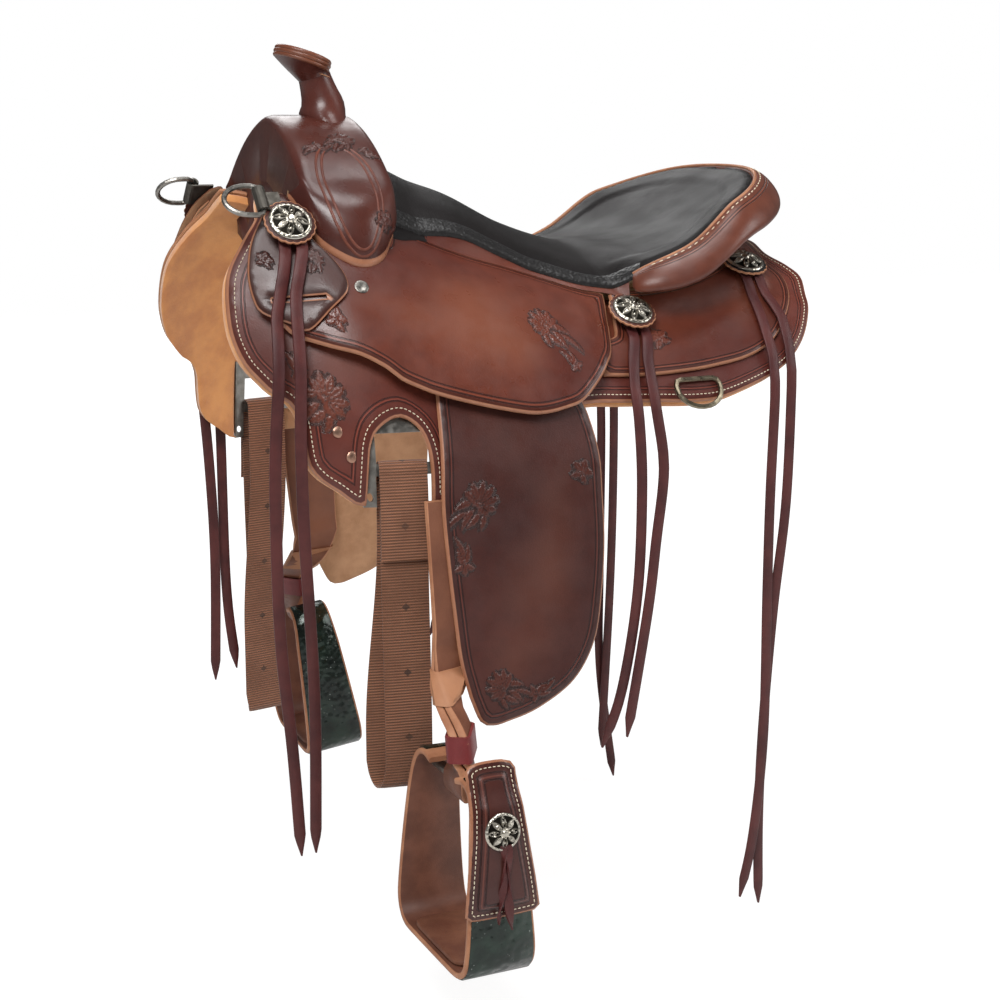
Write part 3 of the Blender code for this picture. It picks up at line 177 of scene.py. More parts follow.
def circle(centre, one, two, radius, count):
    """Points at even turns round a centre, between two axes; each may have its own radius."""
    a = np.linspace(0, 2 * math.pi, count, endpoint=False)[:, None]
    return centre + np.broadcast_to(radius, count)[:, None] * (one * np.cos(a) + two * np.sin(a))


def axes_of(out, up):
    """The direction out, and two square to it and to each other."""
    out = unit(out)
    one = unit(np.cross(up, out))
    return out, one, np.cross(out, one)


def evened(p, count):
    """A line's points again, at equal steps."""
    run = lengths(p)
    return at_lengths(np.linspace(0, run[-1], count), run, p)


def mirrored(right):
    """A line from the middle to the right, with its mirror image before it."""
    return np.vstack([right[:0:-1] * (1, -1, 1), right])


SAME_SPOT = 0.8  # an outline's points closer than this are one


def smooth_run(spots, step):
    """A smooth curve through the spots, in pieces of about one step."""
    p = np.array(spots, float)
    p = np.vstack([2 * p[0] - p[1], p, 2 * p[-1] - p[-2]])
    out = []
    for a, b, c, d in zip(p, p[1:], p[2:], p[3:]):
        count = max(1, round(float(np.linalg.norm(c - b)) / step))
        t = np.arange(count)[:, None] / count
        square, cube = 2 * a - 5 * b + 4 * c - d, 3 * b - a - 3 * c + d
        out.append(0.5 * (2 * b + (c - a) * t + square * t**2 + cube * t**3))
    return np.vstack([*out, p[-2:-1]])


def outline(*runs, step=6):
    """A closed outline from smooth runs that meet at corners."""
    closed = []
    for run in runs:
        for spot in smooth_run(run, step):
            if not closed or np.linalg.norm(spot - closed[-1]) > SAME_SPOT:
                closed.append(spot)
    while np.linalg.norm(closed[0] - closed[-1]) < SAME_SPOT:
        closed.pop()
    return np.array(closed)


def inside(loop, p):
    """Which flat points lie inside the outline."""
    a, b = loop, np.roll(loop, -1, 0)
    u, v = p[:, :1], p[:, 1:2]
    crosses = (a[:, 1] > v) != (b[:, 1] > v)
    with np.errstate(divide="ignore", invalid="ignore"):
        left = u < a[:, 0] + (v - a[:, 1]) * (b[:, 0] - a[:, 0]) / (b[:, 1] - a[:, 1])
    return (crosses & left).sum(1) % 2 == 1


BATCH = 2000  # points handled at once, to save memory


def from_edge(loop, p):
    """Distance of each flat point from the outline."""
    a, b = loop, np.roll(loop, -1, 0)
    d = b - a
    best = []
    for start in range(0, len(p), BATCH):
        q = p[start:start + BATCH, None, :]
        t = np.clip(((q - a) * d).sum(2) / (d**2).sum(1), 0, 1)
        best.append(np.linalg.norm(a + d * t[..., None] - q, axis=2).min(1))
    return np.concatenate(best)


def make(name, points, faces, mats, body, slot, face_mats=None, attrs=None, angle=50):
    """A mesh piece that rides on a body; attrs are named values for each point."""
    mesh = bpy.data.meshes.new(name)
    in_metres = (np.asarray(points, float) * MM).tolist()
    mesh.from_pydata(in_metres, [], [tuple(int(k) for k in f) for f in faces])
    for mat in mats if isinstance(mats, (list, tuple)) else [mats]:
        mesh.materials.append(mat)
    if face_mats is not None:
        mesh.polygons.foreach_set("material_index", np.asarray(face_mats, np.int32))
    for key, values in (attrs or {}).items():
        given = np.asarray(values, np.float32)
        mesh.attributes.new(key, "FLOAT", "POINT").data.foreach_set("value", given)
    mesh.update()
    obj = bpy.data.objects.new(name, mesh)
    bpy.context.scene.collection.objects.link(obj)
    mesh.shade_smooth()
    mesh.set_sharp_from_angle(angle=math.radians(angle))
    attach(obj, body)
    return obj


def grid_faces(rows, cols, wrap_rows=False, wrap_cols=False):
    """Quads over rows of points."""
    faces = []
    for i in range(rows if wrap_rows else rows - 1):
        for k in range(cols if wrap_cols else cols - 1):
            a, b = i * cols, (i + 1) % rows * cols
            n = (k + 1) % cols
            faces.append((a + k, a + n, b + n, b + k))
    return faces


def turned_out(points, faces):
    """The faces wound so that their volume is positive."""
    p = np.asarray(points, float)
    tris = np.array([(f[0], a, b) for f in faces for a, b in zip(f[1:], f[2:])])
    total = np.einsum("ij,ij->i", p[tris[:, 0]], np.cross(p[tris[:, 1]], p[tris[:, 2]])).sum()
    return faces if total > 0 else [tuple(f[::-1]) for f in faces]


def loft(name, rings, mat, body, slot, closed=False, **more):
    """A skin through equal rings of points."""
    r = np.array(rings, float)
    rows, cols = r.shape[:2]
    faces = grid_faces(rows, cols, closed, True)
    if not closed:
        faces += [tuple(range(cols))[::-1], tuple(range((rows - 1) * cols, rows * cols))]
    points = r.reshape(-1, 3)
    return make(name, points, turned_out(points, faces), mat, body, slot, **more)


def fine_flat(loop, holes, pitch, rim):
    """Triangles that fill an outline: a lattice, the outline, and a row just inside it."""
    rings = [loop, *holes]
    points = np.vstack(rings)
    edges, first = [], 0
    for ring in rings:
        edges += [(first + k, first + (k + 1) % len(ring)) for k in range(len(ring))]
        first += len(ring)
    extra = []
    for ring in rings:
        t = np.roll(ring, -1, 0) - np.roll(ring, 1, 0)
        n = np.stack([-t[:, 1], t[:, 0]], 1) / np.linalg.norm(t, axis=1)[:, None]
        for way in (1, -1):
            extra.append(ring + way * rim * n)
    low, high = loop.min(0), loop.max(0)
    us, vs = np.arange(low[0], high[0], pitch), np.arange(low[1], high[1], pitch * 0.87)
    lattice = np.array([(u + 0.5 * pitch * (j % 2), v) for j, v in enumerate(vs) for u in us])
    keep = []
    for cloud, least in ((np.vstack(extra), rim * 0.93), (lattice, rim + 0.45 * pitch)):
        far = np.min([from_edge(ring, cloud) for ring in rings], axis=0)
        ok = (far > least) & inside(loop, cloud)
        for ring in holes:
            ok &= ~inside(ring, cloud)
        keep.append(cloud[ok])
    every = np.vstack([points, *keep])
    made = delaunay_2d_cdt([Vector(p) for p in every], edges, [], 1, 1e-4)
    flat = np.array([tuple(p) for p in made[0]])
    faces = np.array([tuple(f) for f in made[2]])
    middle = flat[faces].mean(1)
    ok = np.ones(len(faces), bool)
    for ring in holes:
        ok &= ~inside(ring, middle)
    faces = faces[ok]
    far = np.min([from_edge(ring, flat) for ring in rings], axis=0)
    return flat, faces, far


EDGE_ROUND = 1.8


def sheet_piece(name, side, loop, low, high, mats, body, slot, holes=(), pitch=7, surface=on_back,
                move=None, relief=None):
    """A piece of leather: top face, edge and flesh side, its edges rounded off.

    The mesh keeps each point's distance from the edge. Relief is added to the top's height.
    """
    flat, faces, far = fine_flat(loop, list(holes), pitch, EDGE_ROUND)
    u, v = flat[:, 0], flat[:, 1]
    low_at = low(u, v) if callable(low) else np.full(len(u), float(low))
    high_at = high(u, v) if callable(high) else np.full(len(u), float(high))
    thick = np.clip((high_at - low_at) * 0.4, 0.3, 1.8)
    off = thick * (1 - np.clip(far / EDGE_ROUND, 0, 1)) ** 2
    if relief is not None:
        high_at = high_at + relief(u, v, far)
    top = surface(side, u, v, high_at - off)
    under = surface(side, u, v, low_at + off * 0.5)
    count = len(flat)
    rim = {(int(a), int(b)): True for f in faces for a, b in zip(f, np.roll(f, -1))}
    wall = [(a, b, count + b, count + a) for a, b in rim if (b, a) not in rim]
    all_faces = [tuple(count + f) for f in faces] + [tuple(f[::-1]) for f in faces] + wall
    points = np.vstack([under, top])
    if move is not None:
        points = move(points)
    face_mats = [0] * len(faces) + [2] * len(faces) + [1] * len(wall)
    return make(name, points, turned_out(points, all_faces), mats, body, slot, face_mats=face_mats,
                attrs={"edge": np.tile(far, 2)}, angle=55)


# ---- materials ----
RAW_EDGE = (0.27, 0.10, 0.052), (0.42, 0.19, 0.105)


def scaled(colour, by):
    return tuple(c * by for c in colour)


def add_node(tree, kind, inputs=None, **values):
    """A node with its settings, and its inputs given as values or as other nodes' outputs."""
    node = tree.nodes.new(kind)
    for key, value in values.items():
        setattr(node, key, value)
    for key, given in (inputs or {}).items():
        if isinstance(given, bpy.types.NodeSocket):
            tree.links.new(given, node.inputs[key])
        elif given is not None:
            node.inputs[key].default_value = given
    return node


class Nodes:
    """Short calls for a material's nodes."""

    def __init__(self, name, colour, rough, metal=0.0, **sockets):
        self.mat = bpy.data.materials.new(name)
        self.mat.use_nodes = True
        self.tree = self.mat.node_tree
        self.shader = self.tree.nodes["Principled BSDF"]
        given = {"Base_Color": (*colour, 1), "Roughness": rough, "Metallic": metal, **sockets}
        for key, value in given.items():
            self.shader.inputs[key.replace("_", " ")].default_value = value
        self.place = self.add("ShaderNodeTexCoord").outputs["Object"]

    def add(self, kind, inputs=None, **values):
        return add_node(self.tree, kind, inputs, **values)

    def wire(self, out, key):
        self.tree.links.new(out, self.shader.inputs[key])

    def noise(self, scale, detail=3.0, rough=0.5, stretch=None):
        return self.add("ShaderNodeTexNoise", {"Scale": scale, "Detail": detail, "Roughness": rough,
                                               "Vector": self.stretched(stretch)}).outputs["Fac"]

    def stretched(self, stretch):
        if stretch is None:
            return self.place
        return self.add("ShaderNodeMapping", {"Scale": stretch, "Vector": self.place}).outputs["Vector"]

    def cells(self, scale, feature="F1"):
        return self.add("ShaderNodeTexVoronoi", {"Scale": scale, "Vector": self.place}, feature=feature
                        ).outputs["Distance"]

    def value(self, name):
        return self.add("ShaderNodeAttribute", attribute_name=name).outputs["Fac"]

    def math(self, kind, a, b=None, clamp=False):
        return self.add("ShaderNodeMath", {0: a, 1: b}, operation=kind, use_clamp=clamp).outputs[0]

    def ramp(self, value, low, high, a=0.0, b=1.0):
        return self.add("ShaderNodeMapRange", {"Value": value, "From Min": low, "From Max": high, "To Min": a,
                                               "To Max": b}, interpolation_type="SMOOTHSTEP").outputs["Result"]

    def line(self, distance, at, half):
        """1 on the line at that distance, 0 past its half width."""
        return self.ramp(self.math("ABSOLUTE", self.math("SUBTRACT", distance, at)), half, half * 0.35, 0.0, 1.0)

    def mix(self, share, a, b):
        """A blend of two colours; 0, 6 and 7 are the colour mix's share and its two inputs."""
        a, b = ((*c, 1) if isinstance(c, tuple) else c for c in (a, b))
        return self.add("ShaderNodeMix", {0: share, 6: a, 7: b}, data_type="RGBA").outputs[2]

    def colour(self, out):
        self.wire(out, "Base Color")

    def rough(self, out):
        self.wire(out, "Roughness")

    def bumps(self, *given):
        """Bumps from (height, distance in mm, strength) triples, one on another."""
        last = None
        for height, distance, strength in given:
            last = self.add("ShaderNodeBump", {"Distance": distance * MM, "Strength": strength, "Height": height,
                                               "Normal": last}).outputs["Normal"]
        self.wire(last, "Normal")


def leather(name, deep, warm, rough=0.42, lines=(), rim=0.5, grain=1.0, patches=9.0, tooled=False,
            pale=1.9, paler=None):
    """Oiled leather from a deep and a warm dye.

    Lines are grooves, as (distance from the edge, half width), with a painted highlight on the ridge between them; rim
    is how dark the edge gets, pale is the width of its raw rim, and the last colour is that of a paler middle away
    from the edges, a painted highlight with some rubbed wear.
    """
    m = Nodes(name, deep, rough, Specular_IOR_Level=0.42, Coat_Weight=0.1, Coat_Roughness=0.3)
    edge = m.value("edge")
    dark = scaled(deep, 0.35)
    cloud = m.ramp(m.noise(patches * 0.55, 2.0, 0.5), 0.3, 0.72)
    fine = m.noise(60.0, 4.0, 0.6)
    colour = m.mix(cloud, deep, warm)
    colour = m.mix(m.ramp(fine, 0.3, 0.75, 0.0, 0.35), colour, scaled(deep, 0.55))
    # Painted highlight, with some rubbed wear: the middle of the piece, away from its edges, is painted paler in
    # patches.
    if paler:
        middle = m.math("MULTIPLY", m.ramp(edge, 16.0, 62.0), m.ramp(m.noise(5.5, 2.0), 0.36, 0.62))
        colour = m.mix(m.math("MULTIPLY", middle, 0.75), colour, paler)
    if rim:
        colour = m.mix(m.ramp(edge, 9.0, 0.5, 0.0, rim), colour, dark)
    heights = [(m.noise(900.0, 3.0, 0.6), 0.25, 0.35 * grain), (m.cells(520.0), 0.2, 0.25 * grain),
               (m.noise(28.0, 2.0), 1.6, 0.25)]
    if lines:
        groove = None
        for at, half in lines:
            one = m.line(edge, at, half)
            groove = one if groove is None else m.math("MAXIMUM", groove, one)
        colour = m.mix(m.math("MULTIPLY", groove, 0.75), colour, dark)
        # Painted highlight: the ridge between the grooves is painted paler.
        bead_highlight = m.line(edge, sum(at for at, _ in lines) / len(lines), 0.75)
        colour = m.mix(m.math("MULTIPLY", bead_highlight, 0.5), colour, scaled(warm, 1.9))
        heights.append((m.math("SUBTRACT", 1.0, groove), 1.1, 1.0))
    if tooled:
        sunk = m.value("sunk")
        colour = m.mix(m.math("MULTIPLY", sunk, 0.85), colour, scaled(deep, 0.25))
        heights.append((m.math("MULTIPLY", m.cells(1100.0), sunk), 0.6, 0.8))
    if pale:
        raw = m.mix(m.noise(120.0, 3.0), *RAW_EDGE)
        colour = m.mix(m.ramp(edge, pale + 0.5, pale - 0.3), colour, raw)
    m.colour(colour)
    m.rough(m.ramp(m.noise(35.0, 3.0), 0.3, 0.7, rough - 0.07, rough + 0.1))
    m.bumps(*heights)
    return m.mat


def plain_leather(name, deep, warm, rough=0.6, grain=0.6, scale=30.0, fuzz=0.0):
    m = Nodes(name, deep, rough, Specular_IOR_Level=0.35, Sheen_Weight=fuzz)
    m.colour(m.mix(m.ramp(m.noise(scale, 4.0, 0.6), 0.3, 0.7), deep, warm))
    m.bumps((m.noise(700.0, 4.0, 0.7), 0.4, grain), (m.noise(60.0, 3.0), 0.8, 0.3))
    return m.mat


EDGE_TAN = plain_leather("edge_tan", (0.31, 0.125, 0.062), (0.46, 0.215, 0.115), 0.55)
EDGE_DARK = plain_leather("edge_dark", (0.10, 0.035, 0.02), (0.2, 0.075, 0.035), 0.5)
FLESH = plain_leather("flesh_side", (0.42, 0.22, 0.11), (0.55, 0.31, 0.17), 0.85, 1.2, 40.0, 0.3)
RAW = plain_leather("raw_tan", (0.30, 0.125, 0.06), (0.42, 0.195, 0.10), 0.5, 0.5, 14.0)
STRAP_FACE = plain_leather("strap_face", (0.13, 0.045, 0.024), (0.21, 0.08, 0.042), 0.45, 0.6, 14.0)
# The skirt, jockey and fender looks get a painted highlight: their last colour paints their middles paler, with some
# rubbed wear.
SKIRT_MAT = leather(
    "skirt_leather_look", (0.088, 0.0165, 0.0115), (0.145, 0.031, 0.018), 0.4,
    lines=((11.5, 0.8), (14.2, 0.7)), rim=0.35, paler=(0.2, 0.055, 0.026))
JOCKEY_MAT = leather(
    "jockey_look", (0.083, 0.0175, 0.0115), (0.155, 0.038, 0.02), 0.33,
    lines=((5.0, 0.75), (8.2, 0.75)), rim=0.6, grain=0.8, patches=8.0, paler=(0.205, 0.064, 0.034))
FENDER_MAT = leather(
    "fender_look", (0.046, 0.011, 0.0085), (0.085, 0.02, 0.013), 0.44,
    lines=((7.0, 0.8), (10.2, 0.8)), rim=0.35, grain=1.1, patches=6.0, paler=(0.12, 0.036, 0.021))
ROLL_MAT = leather(
    "roll_look", (0.085, 0.021, 0.014), (0.15, 0.042, 0.022), 0.34,
    lines=((12.5, 0.7), (15.5, 0.7)), rim=0.0, grain=0.7, patches=8.0, pale=0.0)
STIRRUP_COVER_MAT = leather(
    "stirrup_cover_look", (0.055, 0.014, 0.011), (0.10, 0.028, 0.018), 0.33,
    lines=((9.5, 0.7), (14.5, 0.8)), rim=0.2, grain=0.7, patches=12.0, pale=1.6)
FRONT_MAT = leather("front_jockey_look", (0.052, 0.013, 0.009), (0.105, 0.028, 0.016), 0.36, pale=0.9)
PLAIN_DARK = leather("plain_dark_look", (0.052, 0.013, 0.009), (0.10, 0.026, 0.015), rim=0.0, pale=0.0)
RISER_MAT = leather("riser_look", (0.083, 0.0175, 0.0115), (0.155, 0.038, 0.02), 0.36,
                    rim=0.0, grain=0.8, patches=8.0, pale=0.0)
FORK_MAT = leather("fork_look", (0.062, 0.015, 0.011), (0.125, 0.036, 0.021), 0.3,
                   rim=0.25, grain=0.6, patches=7.0, pale=1.2)
HORN_MAT = leather("horn_look", (0.065, 0.015, 0.012), (0.11, 0.03, 0.02), 0.3,
                   rim=0.0, grain=0.6, patches=12.0, pale=0.0)
CAP_MAT = leather("cap_look", (0.14, 0.042, 0.022), (0.22, 0.075, 0.038), 0.34,
                  rim=0.0, grain=0.6, patches=20.0, pale=0.0)
TOOLED_WARM = leather("tooled_warm", (0.11, 0.024, 0.015), (0.19, 0.05, 0.026), 0.3,
                      rim=0.0, grain=0.8, patches=8.0, tooled=True, pale=0.0)
TOOLED_DARK = leather("tooled_dark", (0.065, 0.016, 0.011), (0.12, 0.032, 0.02), 0.3,
                      rim=0.0, grain=0.8, patches=8.0, tooled=True, pale=0.0)
STRING_MAT = plain_leather("string_look", (0.055, 0.012, 0.012), (0.095, 0.022, 0.02), 0.45, 0.7, 25.0)
HOBBLE_MAT = plain_leather("hobble_look", (0.13, 0.018, 0.02), (0.19, 0.03, 0.03), 0.45, 0.7, 25.0)
BEAD_MAT = plain_leather("bead_look", (0.10, 0.028, 0.018), (0.17, 0.05, 0.03), 0.35, 0.3)
BROWN_IN = plain_leather("stirrup_inside", (0.10, 0.035, 0.02), (0.16, 0.06, 0.035), 0.5)
TREAD_MAT = plain_leather("tread_look", (0.12, 0.04, 0.022), (0.19, 0.075, 0.04), 0.6, 1.2)
BLACK_MAT = plain_leather("black_leather", (0.012, 0.01, 0.01), (0.02, 0.016, 0.016), 0.5)
THREAD = plain_leather("thread", (0.62, 0.52, 0.38), (0.75, 0.66, 0.5), 0.7, 0.3)


def seat_look():
    m = Nodes("seat_look", (0.010, 0.008, 0.008), 0.5, IOR=1.28, Specular_IOR_Level=0.4)
    cloud = m.ramp(m.noise(14.0, 3.0), 0.35, 0.65)
    m.colour(m.mix(cloud, (0.009, 0.0075, 0.0075), (0.012, 0.010, 0.010)))
    m.rough(m.ramp(m.noise(22.0, 3.0), 0.3, 0.7, 0.46, 0.56))
    m.bumps((m.noise(1100.0, 3.0, 0.7), 0.25, 0.5), (m.cells(430.0), 0.25, 0.35),
            (m.noise(30.0, 2.0), 1.5, 0.3))
    return m.mat


def binding_look():
    m = Nodes("binding_look", (0.010, 0.009, 0.009), 0.42, Specular_IOR_Level=0.4, Coat_Weight=0.08,
              Coat_Roughness=0.35)
    m.bumps((m.cells(330.0, "SMOOTH_F1"), 1.0, 0.8), (m.noise(260.0, 2.0), 0.6, 0.5))
    return m.mat


def wool_look():
    m = Nodes("lining_look", (0.5, 0.22, 0.075), 0.85, Sheen_Weight=0.4, Sheen_Roughness=0.6)
    cloud = m.ramp(m.noise(24.0, 5.0, 0.6), 0.3, 0.7)
    m.colour(m.mix(cloud, (0.55, 0.2, 0.047), (0.76, 0.335, 0.092)))
    m.bumps((m.noise(260.0, 5.0, 0.75), 1.2, 0.7), (m.noise(45.0, 4.0), 2.0, 0.4))
    return m.mat


RIB_PITCH, THREAD_PITCH = 2.7, 1.5  # of the webbing, along and across it
MARK_PITCH, MARK_HALF = 62.0, 4.2  # of the dark marks woven into it


def web_look():
    """Webbing ribbed across its run, from its own length along the strap."""
    m = Nodes("webbing_look", (0.12, 0.045, 0.018), 0.62, Sheen_Weight=0.2, Specular_IOR_Level=0.4)
    along, side = m.value("along"), m.value("across")
    rib = m.math("SINE", m.math("MULTIPLY", along, 2 * math.pi / RIB_PITCH))
    thread = m.math("SINE", m.math("MULTIPLY", side, 2 * math.pi / THREAD_PITCH))
    crossed = m.math("MULTIPLY", m.math("MULTIPLY", rib, thread), 0.5)
    weave = m.math("ADD", m.math("MULTIPLY", rib, 0.7), crossed)
    # Painted highlight and shade: the colour follows the ribs' height, light on their tops and dark in the hollows
    # between them.
    colour = m.mix(m.ramp(weave, -0.8, 0.9), (0.075, 0.027, 0.013), (0.40, 0.165, 0.08))
    row = m.math("ABSOLUTE", m.math("SUBTRACT", m.math("MODULO", along, MARK_PITCH), MARK_PITCH / 2))
    mark = m.ramp(m.math("ADD", row, m.math("ABSOLUTE", side)), MARK_HALF, MARK_HALF - 1)
    colour = m.mix(m.math("MULTIPLY", mark, 0.8), colour, (0.012, 0.005, 0.003))
    m.colour(m.mix(m.ramp(m.noise(30.0, 3.0), 0.35, 0.7, 0.0, 0.5), colour, (0.15, 0.055, 0.023)))
    m.bumps((weave, 0.5, 1.0), (m.noise(700.0, 3.0), 0.3, 0.5))
    return m.mat


def metal_look(name, colour, dark, rough, scratch=True, recess=False):
    m = Nodes(name, colour, rough, 1.0)
    grime = m.ramp(m.noise(90.0, 5.0, 0.65), 0.35, 0.75)
    out = m.mix(m.math("MULTIPLY", grime, 0.55), colour, dark)
    if recess:
        sunk = m.value("sunk")
        out = m.mix(sunk, out, scaled(dark, 0.06))
        m.rough(m.ramp(sunk, 0.0, 1.0, rough, 0.55))
    else:
        m.rough(m.ramp(m.noise(160.0, 4.0), 0.3, 0.7, rough - 0.08, rough + 0.14))
    m.colour(out)
    heights = [(m.noise(240.0, 4.0, 0.6), 0.3, 0.3)]
    if scratch:
        heights.append((m.noise(700.0, 2.0, 0.5, (1, 0.12, 1)), 0.15, 0.3))
    m.bumps(*heights)
    return m.mat


def hammered_look():
    """Dark green enamel on hammered metal, with pale specks in patches."""
    m = Nodes("hammered_look", (0.02, 0.035, 0.028), 0.25, 0.55, Specular_IOR_Level=0.6, Coat_Weight=0.3,
              Coat_Roughness=0.12)
    dents = m.cells(150.0, "SMOOTH_F1")
    patches = m.ramp(m.noise(40.0, 3.0), 0.45, 0.62)
    paler = m.math("MULTIPLY", m.ramp(m.cells(230.0), 0.16, 0.02), patches, clamp=True)
    base = m.mix(m.ramp(m.noise(30.0, 4.0), 0.35, 0.65), (0.004, 0.009, 0.006), (0.016, 0.032, 0.022))
    m.colour(m.mix(paler, base, (0.55, 0.6, 0.55)))
    m.bumps((dents, 1.6, 1.0), (m.noise(300.0, 3.0), 0.3, 0.4))
    return m.mat


def wood_look():
    m = Nodes("tree_wood_look", (0.42, 0.27, 0.14), 0.6)
    grain = m.noise(26.0, 5.0, 0.6, (0.12, 1, 1))
    m.colour(m.mix(m.ramp(grain, 0.35, 0.65), (0.34, 0.2, 0.1), (0.52, 0.35, 0.19)))
    m.bumps((grain, 0.8, 0.5))
    return m.mat


SEAT_MAT, BINDING_MAT, LINING_MAT, WEB_MAT = seat_look(), binding_look(), wool_look(), web_look()
STEEL_MAT = metal_look("steel_look", (0.3, 0.285, 0.26), (0.1, 0.092, 0.08), 0.38)
CLIP_MAT = metal_look("clip_look", (0.13, 0.12, 0.105), (0.05, 0.045, 0.04), 0.55)
DEE_MAT = metal_look("aged_dee_look", (0.28, 0.24, 0.17), (0.08, 0.068, 0.05), 0.34)
SILVER_MAT = metal_look("silver_look", (0.62, 0.58, 0.5), (0.25, 0.22, 0.17), 0.28, False, True)
COPPER_MAT = metal_look("rivet_look", (0.5, 0.3, 0.22), (0.25, 0.12, 0.08), 0.4)
HAMMERED_MAT, WOOD_MAT = hammered_look(), wood_look()


CAD_SHARP = math.radians(38)


def cad_look(node, mat):
    """A CAD node that stays gets its finish here."""
    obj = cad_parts[node]
    obj.data.materials.clear()
    obj.data.materials.append(mat)
    obj.data.shade_smooth()
    obj.data.set_sharp_from_angle(angle=CAD_SHARP)


# ---- skirts, linings and jockeys, with the CAD's outlines ----
CHANNEL = 46  # half the open channel between the skirts
MEET = 1.5  # the pieces stop this far from the middle
SKIRT_BACK = across((262, MEET), (264, 40)) + down(
    (258, 25), (266, 15), (271, 5), (264, -10), (258, -24), (239, -47), (215, -66), (191, -78), (165, -87),
    (125, -98), (99, -100), (56, -98), (13, -96), (-18, -95), (-80, -97), (-135, -99), (-150, -112),
    (-153, -150), (-156, -172),
)
SKIRT_ARCH = down(
    (-184, -172), (-183, -139), (-185, -120), (-190, -107), (-198, -99), (-207, -95), (-217, -97),
    (-225, -102), (-232, -109), (-236, -119), (-238, -130), (-242, -168),
)
SKIRT_FRONT = down(
    (-243, -172), (-252, -170), (-264, -160), (-278, -150), (-288, -136), (-291, -117), (-293, -95),
    (-300, -81), (-312, -73), (-321, -63), (-332, -48), (-339, -28), (-341, -8), (-339, 18), (-333, 36),
    (-317, 59), (-300, 79),
) + across((-292, CHANNEL + 9))
SKIRT_TOP = across(
    (-292, CHANNEL + 9), (-240, CHANNEL + 6), (-150, CHANNEL + 2), (0, CHANNEL), (120, CHANNEL), (205, CHANNEL - 2)
)
SKIRT_TAIL = across((205, CHANNEL - 2), (224, 30), (236, MEET))
LINING_ARCH = down((-167, -172), (-167, -85), (-246, -85), (-246, -170))
# the jockeys rise over the tree's bars and at these places along the back
RISE_V = (122, 158)
RISE_FRONT_X = (-300, -230)
RISE_BACK_X = (0, 25)
RISE_TAIL_X = (214, 236)
UNDER_SEAT = 6  # the jockey reaches this far under the seat
FRONT_CLEAR, FRONT_THICK = 1.4, 4
SEAT_EDGE = ((-172, 90), (-106, 96), (-60, 100), (-25, 110), (10, 124), (44, 130))
SEAT_JOCKEY_LOW = down(
    (24, -41), (14, -60), (5, -69), (-8, -81), (-31, -97), (-49, -102), (-79, -105), (-114, -99), (-172, -83),
    (-192, -75), (-208, -67), (-220, -57), (-241, -45), (-264, -37), (-290, -27), (-300, -18), (-314, -4),
    (-322, 14), (-317, 36), (-304, 58), (-290, 72),
)
SEAT_JOCKEY_TOP = across((-284, 98), (-266, 108), (-250, 110), (-196, 110), (-182, 94)) + across(
    *((x, y - UNDER_SEAT) for x, y in SEAT_EDGE[:-1]), (34, 122)
)
SEAT_JOCKEY_END = across((34, 122)) + down((33, -18), (24, -41))
SEAM_IN, SEAM_SHARE = 6.5, 0.76  # the skirt's seam: in from the edge, and how much of it from the rear
FRONT_JOCKEY = down(
    (-290, 78), (-306, 63), (-317, 48), (-324, 24), (-323, 4), (-317, -8), (-296, -17), (-282, -23), (-261, -8),
    (-244, 4), (-243, 16), (-251, 31), (-262, 45), (-270, 60), (-272, 71), (-279, 80), (-290, 78),
)
SLOT = (-308, -263, 2, 3.2)  # start, end, height and width
REAR_JOCKEY_FRONT = across((40, 120)) + down((38, -22), (33, -40)) + [(26, 166), (8, 170)] + down((3, -60), (3, -75))
REAR_JOCKEY_LOW = down(
    (3, -75), (38, -77), (82, -76), (125, -72), (163, -65), (194, -53), (220, -34), (239, -15), (246, 2), (242, 14),
) + across((250, 55), (249, MEET))
REAR_JOCKEY_TOP = across((229, MEET), (226, 40), (212, 74), (184, 102), (140, 116), (90, 120), (40, 120))


def off_bars(v):
    """1 over the tree's bars, 0 below them."""
    return 1 - rise(v, RISE_V)


def seat_jockey_in(x, v):
    along = rise(x, RISE_FRONT_X) * (1 - rise(x, RISE_BACK_X))
    low = LOW_OUT + GAP
    return low + (JOCKEY_IN - low) * np.maximum(along, off_bars(v))


def seat_jockey_out(x, v):
    return seat_jockey_in(x, v) + JOCKEY_THICK


def front_jockey_in(x, v):
    return seat_jockey_out(x, v) + FRONT_CLEAR


def front_jockey_out(x, v):
    return front_jockey_in(x, v) + FRONT_THICK


def rear_jockey_in(x, v):
    low = SKIRT_OUT + GAP
    return low + (JOCKEY_IN - low) * off_bars(v) * (1 - rise(x, RISE_TAIL_X))


def rear_jockey_out(x, v):
    return rear_jockey_in(x, v) + JOCKEY_THICK


def skirt_loop(*arch):
    """The skirt's outline, round the arch given for the rigging."""
    return outline(SKIRT_BACK, *arch, SKIRT_FRONT, SKIRT_TOP, SKIRT_TAIL)


def slot_loop():
    start, end, z, width = SLOT
    mid = [at_spot(x, z) for x in (start, end)]
    half = width / 2
    corners = (start, mid[0] - half), (end, mid[1] - half), (end, mid[1] + half), (start, mid[0] + half)
    return np.array(corners)


STITCH_SIDES = 6
STITCH_ENDS = ((-1, 0.3), (-0.6, 0.95), (0.6, 0.95), (1, 0.3))  # shares of its length and of its girth
TINY = 1e-9


